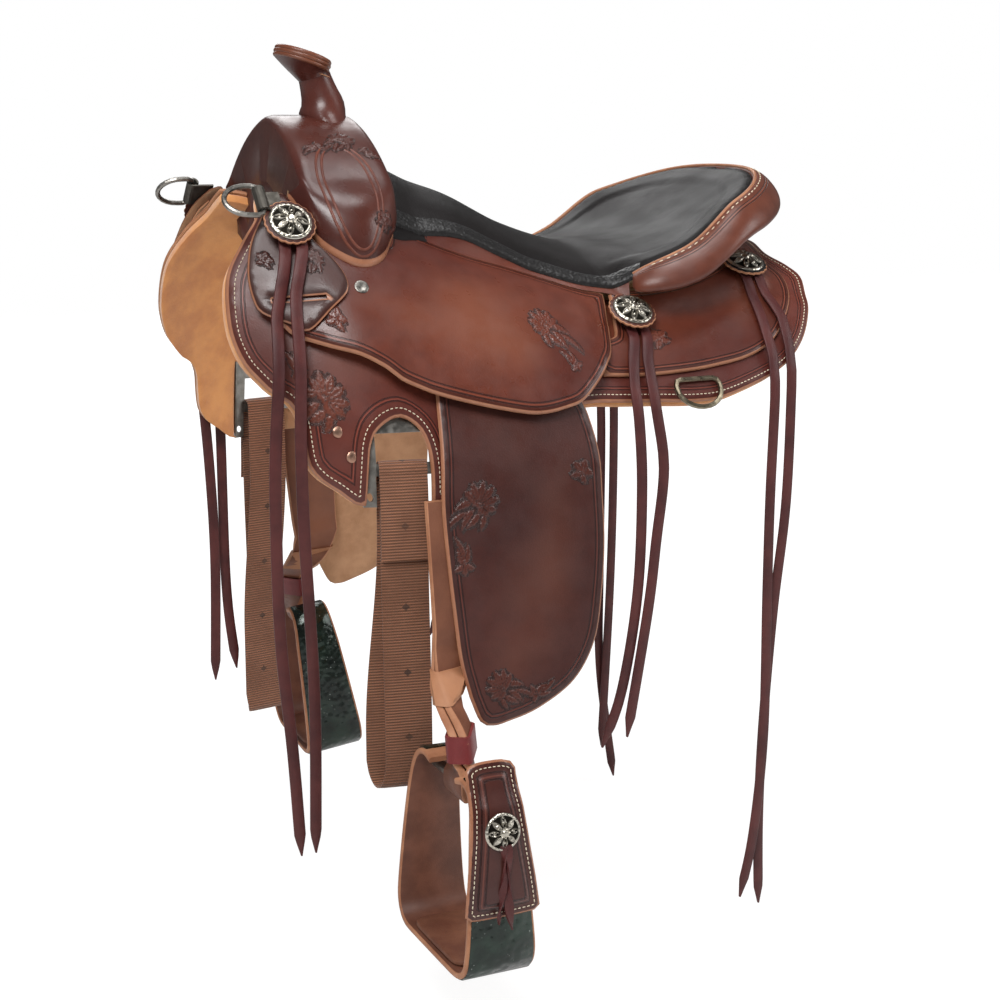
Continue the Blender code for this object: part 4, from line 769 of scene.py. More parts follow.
def stitches(name, points, outs, body, pitch=4.3, length=2.9, wide=1.1, high=0.55):
    """Thread: small rounded stitches along a line, each lying on the leather."""
    p, n = np.array(points, float), np.array(outs, float)
    run = lengths(p)
    spots = np.arange(pitch / 2, run[-1], pitch)
    at, out = at_lengths(spots, run, p), at_lengths(spots, run, n)
    ahead = at_lengths(spots + 0.6, run, p) - at_lengths(spots - 0.6, run, p)
    ahead /= np.linalg.norm(ahead, axis=1)[:, None] + TINY
    out /= np.linalg.norm(out, axis=1)[:, None] + TINY
    side = np.cross(ahead, out)
    turns = np.linspace(0, 2 * math.pi, STITCH_SIDES, endpoint=False)
    shape = np.array([(along * length / 2, size * math.cos(a) * wide / 2, size * math.sin(a) * high)
                      for along, size in STITCH_ENDS for a in turns])
    rows, count = len(STITCH_ENDS), len(shape)
    base = grid_faces(rows, STITCH_SIDES, False, True)
    base += [tuple(range(STITCH_SIDES))[::-1], tuple(range(count - STITCH_SIDES, count))]
    points = [at[k] + shape[:, :1] * ahead[k] + shape[:, 1:2] * side[k] + shape[:, 2:] * out[k]
              for k in range(len(spots))]
    faces = [tuple(count * k + i for i in f) for k in range(len(spots)) for f in base]
    return make(name, np.vstack(points), faces, THREAD, body, "raw_leather", angle=80)


SEAT_LOOP = outline(SEAT_JOCKEY_LOW, SEAT_JOCKEY_TOP, SEAT_JOCKEY_END)
FRONT_LOOP = outline(FRONT_JOCKEY, step=4)
REAR_LOOP = outline(REAR_JOCKEY_FRONT, REAR_JOCKEY_LOW, REAR_JOCKEY_TOP)


SEAM_STEP, SEAM_BREAK = 3.0, 8


def inset(loop, by, start=0.0, end=1.0):
    """The part of an outline from start to end (shares of its length), moved inwards."""
    ring = np.vstack([loop, loop[:1]])
    run = lengths(ring)
    spots = np.arange(start * run[-1], end * run[-1], SEAM_STEP)
    p = at_lengths(spots, run, ring)
    ahead, behind = (np.stack([np.interp(spots + off, run, axis, period=run[-1]) for axis in ring.T], 1)
                     for off in (1, -1))
    t = ahead - behind
    n = np.stack([-t[:, 1], t[:, 0]], 1)
    n /= np.linalg.norm(n, axis=1)[:, None] + TINY
    area = np.sum(loop[:, 0] * np.roll(loop[:, 1], -1) - np.roll(loop[:, 0], -1) * loop[:, 1])
    q = p + n * by * (1 if area > 0 else -1)
    return q[from_edge(loop, q) > by * 0.93]


def stitch_edge(name, side, loop, by, lift, body, start=0.0, end=1.0, surface=on_back, move=None):
    """A seam of thread just inside an outline, in one or more runs."""
    q = inset(loop, by, start, end)
    breaks = np.where(np.linalg.norm(np.diff(q, axis=0), axis=1) > SEAM_BREAK)[0]
    for k, part in enumerate(np.split(q, breaks + 1)):
        if len(part) < 4:
            continue
        u, v = part[:, 0], part[:, 1]
        high = lift(u, v) if callable(lift) else lift
        p = surface(side, u, v, high + 0.15)
        out = surface(side, u, v, high + 1.15) - p
        if move is not None:
            p, out = move(p), move(p + out) - move(p)
        stitches(f"{name}_{k}", p, out, body)


def layers():
    skirt_edge = skirt_loop(SKIRT_ARCH)
    lining_edge = skirt_loop(*[list(pair) for pair in zip(LINING_ARCH, LINING_ARCH[1:])])
    sheets = (
        ("skirt", "skirt", skirt_edge, 0, SKIRT_OUT, [SKIRT_MAT, EDGE_TAN, FLESH], "skirt_leather", {}),
        ("lining", "skirt_lining", lining_edge, LINING_IN, LINING_OUT, [LINING_MAT] * 3, "wool", {"pitch": 8}),
        ("seat_jockey", "seat_jockey", SEAT_LOOP, seat_jockey_in, seat_jockey_out, [JOCKEY_MAT, EDGE_TAN, FLESH],
         "skirt_leather", {}),
        ("front_jockey", "front_jockey", FRONT_LOOP, front_jockey_in, front_jockey_out,
         [FRONT_MAT, EDGE_DARK, FLESH], "dark_leather", {"holes": [slot_loop()], "pitch": 5}),
        ("rear_jockey", "rear_jockey", REAR_LOOP, rear_jockey_in, rear_jockey_out, [JOCKEY_MAT, EDGE_TAN, FLESH],
         "skirt_leather", {}),
    )
    for side, word in SIDES:
        for name, node, loop, low, high, mats, slot, more in sheets:
            made = sheet_piece(f"{name}_{word}_look", side, loop, low, high, mats, "saddle", slot, **more)
            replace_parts(made, f"{node}_{word}")
        stitch_edge(f"skirt_seam_{word}", side, skirt_edge, SEAM_IN, SKIRT_OUT, "saddle", 0.0, SEAM_SHARE)


CAD_MATS = (
    ("tree_bar", WOOD_MAT), ("rigging_plate", STEEL_MAT), ("dee_clip", CLIP_MAT), ("breast_dee", STEEL_MAT),
    ("rear_dee", DEE_MAT), ("stirrup_bolt", STEEL_MAT),
)
CAD_MIDDLE_MATS = (("tree_cantle", WOOD_MAT), ("ground_seat", WOOD_MAT), ("horn_core", STEEL_MAT))


def cad_looks():
    for _, word in SIDES:
        for node, mat in CAD_MATS:
            cad_look(f"{node}_{word}", mat)
    for node, mat in CAD_MIDDLE_MATS:
        cad_look(node, mat)


# ---- seat, its binding, the cantle roll and the back of the cantle ----
BAR_OUT = 17.6
SEAT_FROM = -173
CLEAR_UNTIL = 50
# the rim in plan: part of a superellipse behind RIM_X0
RIM_X0, RIM_X1 = 110, 247
RIM_HALF = 153
RIM_POWER = 2.3
SEAT_X = (-173, -106, -60, -25, 10, 44, 76, 110)
SEAT_HALF = (90, 96, 100, 110, 124, 132, 150, RIM_HALF)
EDGE_X = (-173, -164, -106, -60, -25, 10, 44, 76, 120, 166, 185, 208, 235, 247)
EDGE_Z = (62, 63, 61, 41, 24, 14, 10, 29, 48, 84, 92, 102, 114, 118)
CREST_X = (-173, -125, -82, -26, 37, 70, 100, 150, 200, 240)
CREST_Z = (131, 110, 95, 67, 47, 46, 47, 60, 90, 113)
BAND_HIGH, SWELL_HIGH = 2.6, 1.6
SEAT_EDGE_THICK = 3.5
SEAT_PAD_THICK = 8
SADDLE_POWER = 1.9  # how late the seat falls towards its edge
SEAT_GAP = 1.3
FOOT_SHARE, CANTLE_SHARE = 0.74, 0.88  # where the cantle rises, as shares of the rim
CANTLE_EDGE_THICK = 12
BACK_THICK = 4
ROLL_FROM = 62
ROLL_WIDE, ROLL_THICK = 20, 9
ROLL_OFF = 2.8
ROLL_TILT = math.radians(50)
BINDING_END = 70
BINDING_DEEP = 6.5
# the binding's section: out from the seat's edge, and up from its top
BINDING_SECTION = ((-11, 1.4), (-8, 2.3), (-3, 2.6), (0.5, 2.2), (2.2, 0), (2.4, -2.4), (1.6, -4.6), (-1, -4.8),
                   (-1, -1.5), (-11, -1))
RISERS = (("front", -184, -134, SEAT_MAT, "seat_leather"), ("rise", -138, 60, RISER_MAT, "skirt_leather"))
RISER_FOOT, RISER_SPREAD = (6, 17), (-136, -176)  # its foot's width, and where it grows towards the front
ALONG_STEP = 4.0
ROLL_POINTS, ROLL_SIDES, ROLL_TAPER = 150, 36, 18
ROLL_SEAM = 2.52  # the seam's turn round the roll
ROLL_UNDER = 40  # its underside counts as this far from the edge
BACK_TURN = 1.25  # how far the cantle's back reaches to each side
BACK_SHARES = (0.80, 0.82, 0.84, 0.862, 0.885)


def rim_half(x):
    """Half the rim's width."""
    t = np.clip((x - RIM_X0) / (RIM_X1 - RIM_X0), 0, 1)
    return RIM_HALF * (1 - t**RIM_POWER) ** (1 / RIM_POWER)


def seat_half(x):
    return np.where(np.asarray(x) < RIM_X0, table(x, SEAT_X, SEAT_HALF), rim_half(x))


def edge_height(x):
    """Height of the seat's edge, which clears the jockey in front of the cantle."""
    edge = float(table(x, EDGE_X, EDGE_Z))
    if x >= CLEAR_UNTIL:
        return edge
    return max(edge, height_at(x, float(seat_half(x)), JOCKEY_OUT) + 2 * GAP + SEAT_EDGE_THICK)


EDGE_ROWS = SEAT_FROM + 5.0 * np.arange(85)
EDGE_HEIGHTS = np.array([edge_height(x) for x in EDGE_ROWS])


def reach(x, y):
    """0 in the seat's middle, 1 at its edge."""
    along = np.clip((x - RIM_X0) / (RIM_X1 - RIM_X0), 0, None)
    rear = (along**RIM_POWER + np.abs(y / RIM_HALF) ** RIM_POWER) ** (1 / RIM_POWER)
    return np.where(x < RIM_X0, np.minimum(1, np.abs(y) / seat_half(x)), rear)


def seat_top(x, y):
    crest = table(x, CREST_X, CREST_Z)
    edge = np.interp(x, EDGE_ROWS, EDGE_HEIGHTS)
    return crest + (edge - crest) * np.minimum(1, np.abs(y) / np.maximum(seat_half(x), 1)) ** SADDLE_POWER


def seat_under(x, y):
    inner = 1 - np.minimum(1, reach(x, y)) ** 3
    return seat_top(x, y) - SEAT_EDGE_THICK - (SEAT_PAD_THICK - SEAT_EDGE_THICK) * inner


def cantle_under(x, y):
    low = min(height_at(x, y, BAR_OUT + GAP), float(seat_under(x, y)) - SEAT_GAP - 2)
    rise = (float(reach(x, y)) - FOOT_SHARE) / (CANTLE_SHARE - FOOT_SHARE)
    lip = float(seat_under(x, y)) - SEAT_GAP - CANTLE_EDGE_THICK
    if rise <= 0:
        return low
    over = height_at(x, y, JOCKEY_OUT + 3 * GAP + BACK_THICK)
    return max(low * (1 - min(rise, 1)) + lip * min(rise, 1), min(over, lip))


def rim_point(turn, share):
    """A spot in plan at a turn round the rim and a share of the way out."""
    cosine, sine = math.cos(turn), math.sin(turn)
    x = RIM_X0 + (RIM_X1 - RIM_X0) * share * math.copysign(abs(cosine) ** (2 / RIM_POWER), cosine)
    return x, RIM_HALF * share * math.copysign(abs(sine) ** (2 / RIM_POWER), sine)


def seat_plan():
    """The seat's outline in plan, from the front right round the rim."""
    front = [(x, float(seat_half(x))) for x in np.arange(SEAT_FROM, RIM_X0 - 1, 5)]
    rear = [rim_point(math.radians(a), 1) for a in np.arange(90, -90.1, -2.5)]
    return front + rear + [(x, -y) for x, y in front[::-1]]


def seat_place(_, x, y, lift):
    """A spot on the seat, lifted off its top."""
    return np.stack([x, y, seat_top(x, y) + lift], -1)


def rim_band(x, _, far):
    """The raised band inside the cantle's rim, and in front the seat's swell inside its binding."""
    rear = rise(x, (45, 75))
    band = BAND_HIGH * rise(far, (3, 6)) * rise(far, (30, 25))
    swell = SWELL_HIGH * rise(far, (11, 21)) * (1 - rise(far, (22, 52)))
    return rear * band + (1 - rear) * swell


def over_jockey(x, y, lift):
    """A spot at that width, lifted off the seat jockey."""
    spots = on_back(RIGHT, float(x), LOOK_V, seat_jockey_out(float(x), LOOK_V) + lift)
    top = int(np.argmax(spots[:, 1]))
    v = float(np.interp(y, spots[: top + 1, 1], LOOK_V[: top + 1]))
    return on_back(RIGHT, float(x), v, float(seat_jockey_out(float(x), v)) + lift)


def seat():
    loop = thinned(np.array(seat_plan()), 1.2)
    pad = sheet_piece("seat_look", RIGHT, loop, lambda x, y: seat_under(x, y) - seat_top(x, y), 0, [SEAT_MAT] * 3,
                      "saddle", "seat_leather", pitch=4.5, surface=seat_place, relief=rim_band)
    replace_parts(pad, "seat")
    for side, word in SIDES:
        binding(side, word)
        risers(side, word)


def edge_top(x):
    return float(np.interp(x, EDGE_ROWS, EDGE_HEIGHTS))


def binding(side, word):
    """The rolled leather over the seat's edge."""
    rings = []
    for x in np.arange(SEAT_FROM, BINDING_END, ALONG_STEP):
        half = float(seat_half(x))
        slope = float(seat_half(x + 1) - seat_half(x - 1)) / 2
        out = np.array([-slope, 1.0]) / math.hypot(1, slope)
        low = edge_top(x) - BINDING_DEEP
        ring = []
        for q, h in BINDING_SECTION:
            px, py = x + out[0] * q, half + out[1] * q
            z = float(seat_top(px, min(py, float(seat_half(px))))) + h
            ring.append((px, side * py, max(z, low)))
        rings.append(ring)
    loft(f"binding_{word}", rings, BINDING_MAT, "saddle", "seat_leather")


def risers(side, word):
    """The leather between the seat's edge and the jockey below, in two stretches."""
    for part, first, last, mat, slot in RISERS:
        rings = []
        for x in np.arange(first, last, ALONG_STEP):
            at = max(x, SEAT_FROM)
            half = float(seat_half(at))
            foot = RISER_FOOT[0] + RISER_FOOT[1] * float(rise(x, RISER_SPREAD))
            low, mid = over_jockey(x, half + foot, 0.2), over_jockey(x, half + foot * 0.55, 1.2)
            top, under = max(edge_top(at) - 2.5, mid[2] + 0.5), mid[2] - 3
            spots = [low, mid, (x, half + 0.6, top), (x, half - 4, top), (x, half - 4, under),
                     (x, half + foot * 0.5, under)]
            rings.append([(p[0], side * p[1], p[2]) for p in spots])
        loft(f"seat_{part}_{word}", rings, mat, "saddle", slot)


def roll_path():
    """The cantle's rim, its height eased."""
    left = [(x, -float(seat_half(x))) for x in np.linspace(ROLL_FROM, RIM_X0 - 4, 16)]
    back = [rim_point(a, 1) for a in np.linspace(-math.pi / 2, math.pi / 2, 97)]
    spots = left + back + [(x, -y) for x, y in left[::-1]]
    path = evened(np.array([(x, y, edge_top(x)) for x, y in spots]), ROLL_POINTS)
    z = path[:, 2].copy()
    for _ in range(6):
        z[1:-1] = (z[:-2] + 2 * z[1:-1] + z[2:]) / 4
    path[:, 2] = z
    return path


def cantle_roll():
    path = roll_path()
    turns = np.linspace(0, 2 * math.pi, ROLL_SIDES, endpoint=False)
    rings, frames = [], []
    for k, (spot, t) in enumerate(zip(path, np.gradient(path[:, :2], axis=0))):
        out = np.array((t[1], -t[0], 0.0)) / np.hypot(*t)
        end = min(k, len(path) - 1 - k) / ROLL_TAPER
        size = 0.35 + 0.65 * math.sqrt(max(0.0, 1 - (1 - min(end, 1)) ** 2))
        broad = (out * math.cos(ROLL_TILT) - np.array((0, 0, math.sin(ROLL_TILT)))) * size
        thin = (out * math.sin(ROLL_TILT) + np.array((0, 0, math.cos(ROLL_TILT)))) * size
        start = spot + out * ROLL_OFF + broad * ROLL_WIDE
        frames.append((start, broad, thin))
        ring = []
        for a in turns:
            bulge = 1 + 0.10 * math.sin(a) * max(0, math.cos(a))
            ring.append(start + broad * ROLL_WIDE * math.cos(a) + thin * ROLL_THICK * bulge * math.sin(a))
        rings.append(ring)
    shape = np.array([(ROLL_WIDE * math.cos(a), ROLL_THICK * math.sin(a)) for a in turns])
    run, half = lengths(shape), ROLL_SIDES // 2
    edge = np.abs(run - run[half])
    edge[half + 1:] = ROLL_UNDER
    roll = loft("cantle_roll_look", rings, ROLL_MAT, "saddle", "dark_leather",
                attrs={"edge": np.tile(edge, len(rings))})
    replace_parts(roll, "cantle_roll")
    cosine, sine = math.cos(ROLL_SEAM), math.sin(ROLL_SEAM)
    seam = [s + b * (ROLL_WIDE * cosine) + n * (ROLL_THICK * sine) for s, b, n in frames[4:-4]]
    outs = [b * cosine * ROLL_THICK + n * sine * ROLL_WIDE for _, b, n in frames[4:-4]]
    stitches("roll_stitches", seam, unit(outs), "saddle", pitch=8.2, length=4.2, wide=1.4, high=0.9)
    tube("roll_piping", [s - b * (ROLL_WIDE - 0.3) + n * 1.2 for s, b, n in frames], 1.9, EDGE_TAN, "saddle",
         "dark_leather")


def cantle_back():
    rings = []
    for turn in np.linspace(-BACK_TURN, BACK_TURN, 61):
        spots = [rim_point(turn, share) for share in BACK_SHARES]
        top = [(x, y, cantle_under(x, y) - 2 * GAP) for x, y in spots]
        rings.append(top + [(x, y, z - BACK_THICK) for x, y, z in top[::-1]])
    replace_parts(loft("cantle_back_look", rings, JOCKEY_MAT, "saddle", "skirt_leather"), "cantle_back")


def tube(name, path, radius, mat, body, slot, sides=10, closed=False):
    """A round cord or wire along a path."""
    p = np.array(path, float)
    t = unit(np.roll(p, -1, 0) - np.roll(p, 1, 0) if closed else np.gradient(p, axis=0))
    up = np.cross(t[0], (0.31, 0.2, 0.93))
    rings = []
    for spot, way in zip(p, t):
        up = up - way * np.dot(up, way)
        up /= np.linalg.norm(up)
        other = np.cross(way, up)
        rings.append(circle(spot, up, other, radius, sides))
    return loft(name, rings, mat, body, slot, closed=closed)


# ---- fork cover and horn ----
FORK_TOP = ((0, 171.5), (36, 163), (66, 149), (92, 131), (113, 112))
# below its top, half the fork's girth in its middle, in front and at the rear
FORK_MID = ((129, 101), (143, 85), (151, 64), (154, 44))
FORK_FRONT = ((118, 104), (117, 98), (114, 92), (109, 84))
FORK_REAR = ((120, 100), (124, 84), (124, 70), (119, 56))
FORK_ARCH = ((0, 108), (15, 106), (28, 100), (38, 90), (43, 78), (46, 70), (50, 62), (54, 52), (58, 44))
FORK_EDGE_X = (-275, -272, -263, -242, -220, -197, -177, -172)
FORK_EDGE_Y = (96, 101, 127, 147, 152, 141, 112, 104)
FORK_X_Z = (40, 74, 112, 173)
FORK_X_FRONT = (-274, -272, -266, -262)
FORK_X_BACK = (-177, -176.5, -176, -178)
COVER_LIFT = 4.2
FORK_BLEND, FORK_STEP, FORK_ROUND, FORK_FLAT = 2.2, 3.2, 6.0, 0.8
FORK_LOW_Z = 40
FORK_SHARES = (-1, -0.99, -0.96, -0.91, -0.85, *np.linspace(-0.76, 0.76, 22), 0.85, 0.91, 0.96, 0.99, 1)
FORK_COUNT, FORK_CROWD = 64, 1.25  # points down each side, closer together near the foot
FORK_TURNED_IN = ((0.3, 3.4), (0.3, 1.0), (-1, -1.0))  # the foot's edge: outwards, and over the jockey
FORK_FOOT = 6  # the cover's side turns into its foot this far over the jockey
GULLET_X = (-181, -184, -205, -221, -240, -262, -266)
GULLET_GROW, GULLET_FAR = 1.5, 30.0  # it widens at its ends, and counts as this far from an edge
TREE_SHARES = (-1, -0.96, -0.85, -0.5, 0, 0.5, 0.85, 0.96, 1)
TREE_INSIDE = 5.5  # the tree's fork lies this far inside the cover
TREE_FOOT = ((100, 60), (62, 66), (52, 80), (36, 104), (14, 113))


def fork_half(share, inwards=0.0):
    """Half of the cover's girth at a share from its front to its rear, from the top down to its edge."""
    blend = abs(share) ** FORK_BLEND
    other = FORK_REAR if share > 0 else FORK_FRONT
    low = np.array(FORK_MID) * (1 - blend) + np.array(other) * blend
    half = smooth_run([(-FORK_TOP[1][0], FORK_TOP[1][1]), *FORK_TOP, *low], FORK_STEP)
    half = half[half[:, 0] >= -0.01]
    t = np.gradient(half, axis=0)
    n = np.stack([-t[:, 1], t[:, 0]], 1) / np.linalg.norm(t, axis=1)[:, None]
    end = np.clip((abs(share) - FORK_FLAT) / (1 - FORK_FLAT), 0, 1)
    shrink = FORK_ROUND * (1 - math.sqrt(1 - end**2))
    return half - n * (shrink + inwards) * np.sign(n[len(n) // 3, 0])


def fork_at(z):
    """The cover's front and back at a height."""
    return np.interp(z, FORK_X_Z, FORK_X_FRONT), np.interp(z, FORK_X_Z, FORK_X_BACK)


def fork_side(share, low_front, low_back):
    """One side of the cover at a share from front to rear, and its distance from the edge."""
    half = fork_half(share)
    front, back = fork_at(half[:, 1])
    x = (front + back) / 2 + share * (back - front) / 2
    end_x = float(low_front * (1 - share) / 2 + low_back * (1 + share) / 2)
    end_y = float(table(end_x, FORK_EDGE_X, FORK_EDGE_Y))
    rim = over_jockey(end_x, end_y, COVER_LIFT)
    line = [p for p in np.stack([x, half[:, 0], half[:, 1]], 1) if p[2] > rim[2] + FORK_FOOT]
    spots = smooth_run([*line[::4], rim], 1.2)
    run = lengths(spots)
    even = run[-1] * (1 - (1 - np.linspace(0, 1, FORK_COUNT)) ** FORK_CROWD)
    turned_in = [over_jockey(end_x, end_y + d, h) for d, h in FORK_TURNED_IN]
    return np.vstack([at_lengths(even, run, spots), turned_in]), np.concatenate([run[-1] - even, [0, 0, 0]])


def fork_cover():
    rings, edges = [], []
    for share in FORK_SHARES:
        right, far = fork_side(share, *fork_at(FORK_LOW_Z))
        rings.append(mirrored(right))
        edges.append(np.concatenate([far[:0:-1], far]))
    total = len(rings[0])
    arch = smooth_run([(-15, 106), *FORK_ARCH], 2.0)
    arch = evened(arch[arch[:, 0] >= 0], (total + 1) // 2)
    for x in GULLET_X:
        grow = GULLET_GROW if x in (GULLET_X[0], GULLET_X[-1]) else 0
        up = grow * (arch[:, 0] < 40)
        rings.append(mirrored(np.stack([np.full(len(arch), float(x)), arch[:, 0] + grow, arch[:, 1] + up], 1)))
        edges.append(np.full(total, GULLET_FAR))
    edges[0] = edges[len(FORK_SHARES) - 1] = edges[1]
    faces = grid_faces(len(rings), total, True, False)
    outer = (len(FORK_SHARES) - 1) * (total - 1)
    cols = [0] * outer + [1] * (len(faces) - outer + 2)
    faces += [tuple(k * total for k in range(len(rings))),
              tuple(k * total + total - 1 for k in range(len(rings)))[::-1]]
    points = np.array(rings).reshape(-1, 3)
    cover = make("fork_cover_look", points, turned_out(points, faces), [FORK_MAT, PLAIN_DARK], "saddle",
                 "dark_leather", attrs={"edge": np.concatenate(edges)}, angle=70, face_mats=cols)
    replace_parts(cover, "fork_cover")


def tree_fork():
    """The tree's fork, as a form just inside the cover."""
    rings = []
    for share in TREE_SHARES:
        half = fork_half(share, TREE_INSIDE)[::5]
        half = half[half[:, 1] > 58]
        front, back = fork_at(half[:, 1])
        x = (front + back) / 2 + share * ((back - front) / 2 - TREE_INSIDE)
        right = evened(np.stack([x, half[:, 0], half[:, 1]], 1)[:36], 24)
        rings.append(mirrored(np.vstack([right, [(x[0], y, z) for y, z in TREE_FOOT]])))
    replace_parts(loft("tree_fork_look", rings, WOOD_MAT, "saddle", "tree_wood"), "tree_fork")


def lathe(name, profile, base, axis, mat, body, slot, steps=48, **more):
    """A round piece from its (radius, height) profile, standing at base along an axis."""
    axis = unit(axis)
    one = unit(np.cross(axis, (0.1, 1, 0.2)))
    two = np.cross(axis, one)
    rings = [circle(np.array(base) + axis * h, one, two, r, steps) for r, h in profile]
    return loft(name, rings, mat, body, slot, **more)


HORN_FOOT, HORN_TOP = (-203, 0, 178), (-212, 0, 208)
CAP_MID = (-222, 0, 229)
CAP_TILT = math.radians(18)
HORN_STEPS = 48
# radius at each height along the horn's lean, radius at each share from the wrap to the cap, and the cap's disc
WRAP_PROFILE = ((34, -16), (30.5, -11), (27.5, -7.5), (24.5, -3), (22, 2), (20, 7), (18.3, 13), (17, 20),
                (15.9, 28), (15.5, 32.3), (10.8, 32.3))
NECK_PROFILE = ((0, 15.9), (0.12, 16.4), (0.3, 17.6), (0.5, 19.5), (0.72, 22.2), (0.9, 25), (1, 26.6))
WRAP_BLEND, WRAP_AHEAD, WRAP_DEEP = (-12, 10), 4.0, 21  # its flat foot turns into its round neck
NECK_FROM, NECK_END = 30.5, 10.5
CAP_LOW = 10.8
CAP_PROFILE = ((2, 0), (26.2, 0), (27.4, 0.7), (28.0, 2.0), (27.6, 3.2), (27.2, 3.5), (27.9, 4.2), (28.4, 5.6),
               (28.0, 7.0), (27.4, 7.3), (27.9, 8.0), (27.9, 9.6), (26.8, 11.0), (24, 11.7), (16, 12.3), (8, 12.7),
               (1, 12.8))
HORN_SEAM_R = 16.1


def horn():
    foot, top, cap = (np.array(p, float) for p in (HORN_FOOT, HORN_TOP, CAP_MID))
    lean = (top - foot) / np.linalg.norm(top - foot)
    one = np.array((0, 1.0, 0))
    rings = []
    for radius, h in WRAP_PROFILE:
        share = rise(h, WRAP_BLEND)
        way = unit(np.array((0, 0, 1.0)) * (1 - share) + lean * share)
        middle = foot + lean * h - np.array((WRAP_AHEAD, 0, 0)) * (1 - share)
        deep = radius * share + WRAP_DEEP * (1 - share)
        rings.append(circle(middle, radius * one, deep * np.cross(way, one), 1, HORN_STEPS))
    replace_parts(loft("horn_wrap_look", rings, HORN_MAT, "saddle", "dark_leather"), "horn_wrap")
    axis = np.array((math.sin(CAP_TILT), 0, math.cos(CAP_TILT)))
    start, end = foot + lean * NECK_FROM, cap - axis * NECK_END
    rings = []
    for share, radius in NECK_PROFILE:
        two = np.cross(unit(lean * (1 - share) + axis * share), one)
        rings.append(circle(start * (1 - share) + end * share, one, two, radius, HORN_STEPS))
    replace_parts(loft("horn_cap_under", rings, HORN_MAT, "saddle", "dark_leather"), "horn_cap")
    lathe("horn_cap_disc", CAP_PROFILE, cap - axis * CAP_LOW, axis, CAP_MAT, "saddle", "dark_leather")
    turns = np.linspace(0, 2 * math.pi, 40, endpoint=False)
    seam = [start + lean * 1.2 + HORN_SEAM_R * np.array((math.cos(a), math.sin(a), 0.1 - 0.30 * math.cos(a)))
            for a in turns]
    tube("horn_seam", seam, 0.75, EDGE_TAN, "saddle", "dark_leather", 8, closed=True)


# ---- legs: fender, stirrup leather, keepers, stirrup and its cover ----
HINGE = (-150, -88)  # x and z of the point that the leg swings round
FENDER_THICK, FENDER_CLEAR = 4.5, 0.9
FLAT_SLOPE, HANG_SLOPE = 0.42, 0.16
BEND_Z = (-116, -166)  # over this span its slope goes from the first to the second
FENDER_TOP = ((-171, -64), (-100, -70), (-30, -84))
FENDER_BACK = ((-30, -84), (-24, -101), (-19, -135), (-19, -171), (-20, -217), (-26, -263), (-37, -308), (-61, -342),
               (-99, -363), (-130, -371), (-146, -373), (-158, -368), (-167, -345))
FENDER_FRONT = ((-167, -345), (-174, -312), (-177, -273), (-180, -219), (-181, -167), (-176, -115), (-173, -79),
                (-171, -64))
FAR_REST_SWING = math.radians(9)
STIRRUP_MID = (-192, 303)
# the stirrup leather at each height: middle, width, thickness, turn in degrees
STRAP_Z = (-168, -250, -300, -320, -336, -350, -360, -382, -392, -401, -413, -419)
STRAP_X = (-168, -168, -170, -178, -188, -193, -193, -193, -192, -192, -192, -192)
STRAP_WIDE = (54, 54, 50, 44, 40, 38, 38, 41, 42, 42, 42, 42)
STRAP_THICK = (7, 7, 9, 10, 13, 16, 16, 16, 17, 22, 22, 16)
STRAP_TURN = (0, 0, 0, 20, 45, 60, 60, 60, 80, 90, 90, 90)
STRAP_OUT_Z = (-326, -368)
# half of the stirrup's inner line, from its top down: out from its middle, height and width there
BOW = ((29, -396, 42), (42, -393, 42), (53, -396, 43), (61, -407, 45), (66, -430, 50), (71, -470, 56), (74, -510, 62),
       (74, -536, 66), (69, -550, 67), (57, -557, 68), (30, -558, 68), (0, -558, 68))
BOW_THICK = 7
TREAD_SIZE = (100, 60, 5)
# the leather over the stirrup's side: how far out it lies and half its width, by height
COVER_H = ((-372, 45), (-385, 50), (-396, 55), (-407, 61), (-430, 66), (-470, 71), (-510, 74))
COVER_HALF = ((-378, 23.5), (-392, 23.5), (-430, 27), (-470, 32), (-496, 35))
COVER_THICK, COVER_SEAM, COVER_SLANT, PUFF_HIGH = 3.2, 5.2, 0.13, 5.0
COVER_TOP = ((-20, -372.5), (-12, -370), (0, -369.5), (12, -370), (20, -372.5))
COVER_FOOT = ((30, -500), (0, -501), (-30, -500))
LEATHER_Z = (-168, *range(-180, -419, -5), -419)
KEEPER_Z, HOBBLE_Z = (-318, -342), (-360, -382)
CONCHO_Z, CONCHO_LIFT, STIRRUP_CONCHO = -425.0, 8.8, 16.5
TIE_Z, TIE_LIFT, TIE_WIDE, TIE_THICK = -436, 10.5, 4.2, 1.3
TIES = ((-3, -505, 2.5), (3.5, -512, -2.2))  # sideways start, end height and twist of each end
TREAD_TURNS, TREAD_POWER = 32, 0.25


def lean(z):
    """How far the leg goes out for each step down."""
    return FLAT_SLOPE + (HANG_SLOPE - FLAT_SLOPE) * rise(z, BEND_Z)


def hinge_point(side):
    x, z = HINGE
    return on_back(side, x, at_spot(x, z), SKIRT_OUT + FENDER_CLEAR + FENDER_THICK / 2)


LEG_Z = np.arange(0, -620, -2.0)
LEG_TOP = abs(hinge_point(RIGHT)[1]) + FLAT_SLOPE * hinge_point(RIGHT)[2]
LEG_Y = LEG_TOP + np.concatenate([[0], np.cumsum([2 * lean(z - 1) for z in LEG_Z[:-1]])])


def on_fender(side, x, z, lift):
    y = np.interp(-np.asarray(z, float), -LEG_Z, LEG_Y)
    slope = lean(z)
    size = np.hypot(1, slope)
    return np.stack([x + 0 * y, side * (y + lift / size), z + lift * slope / size], -1)


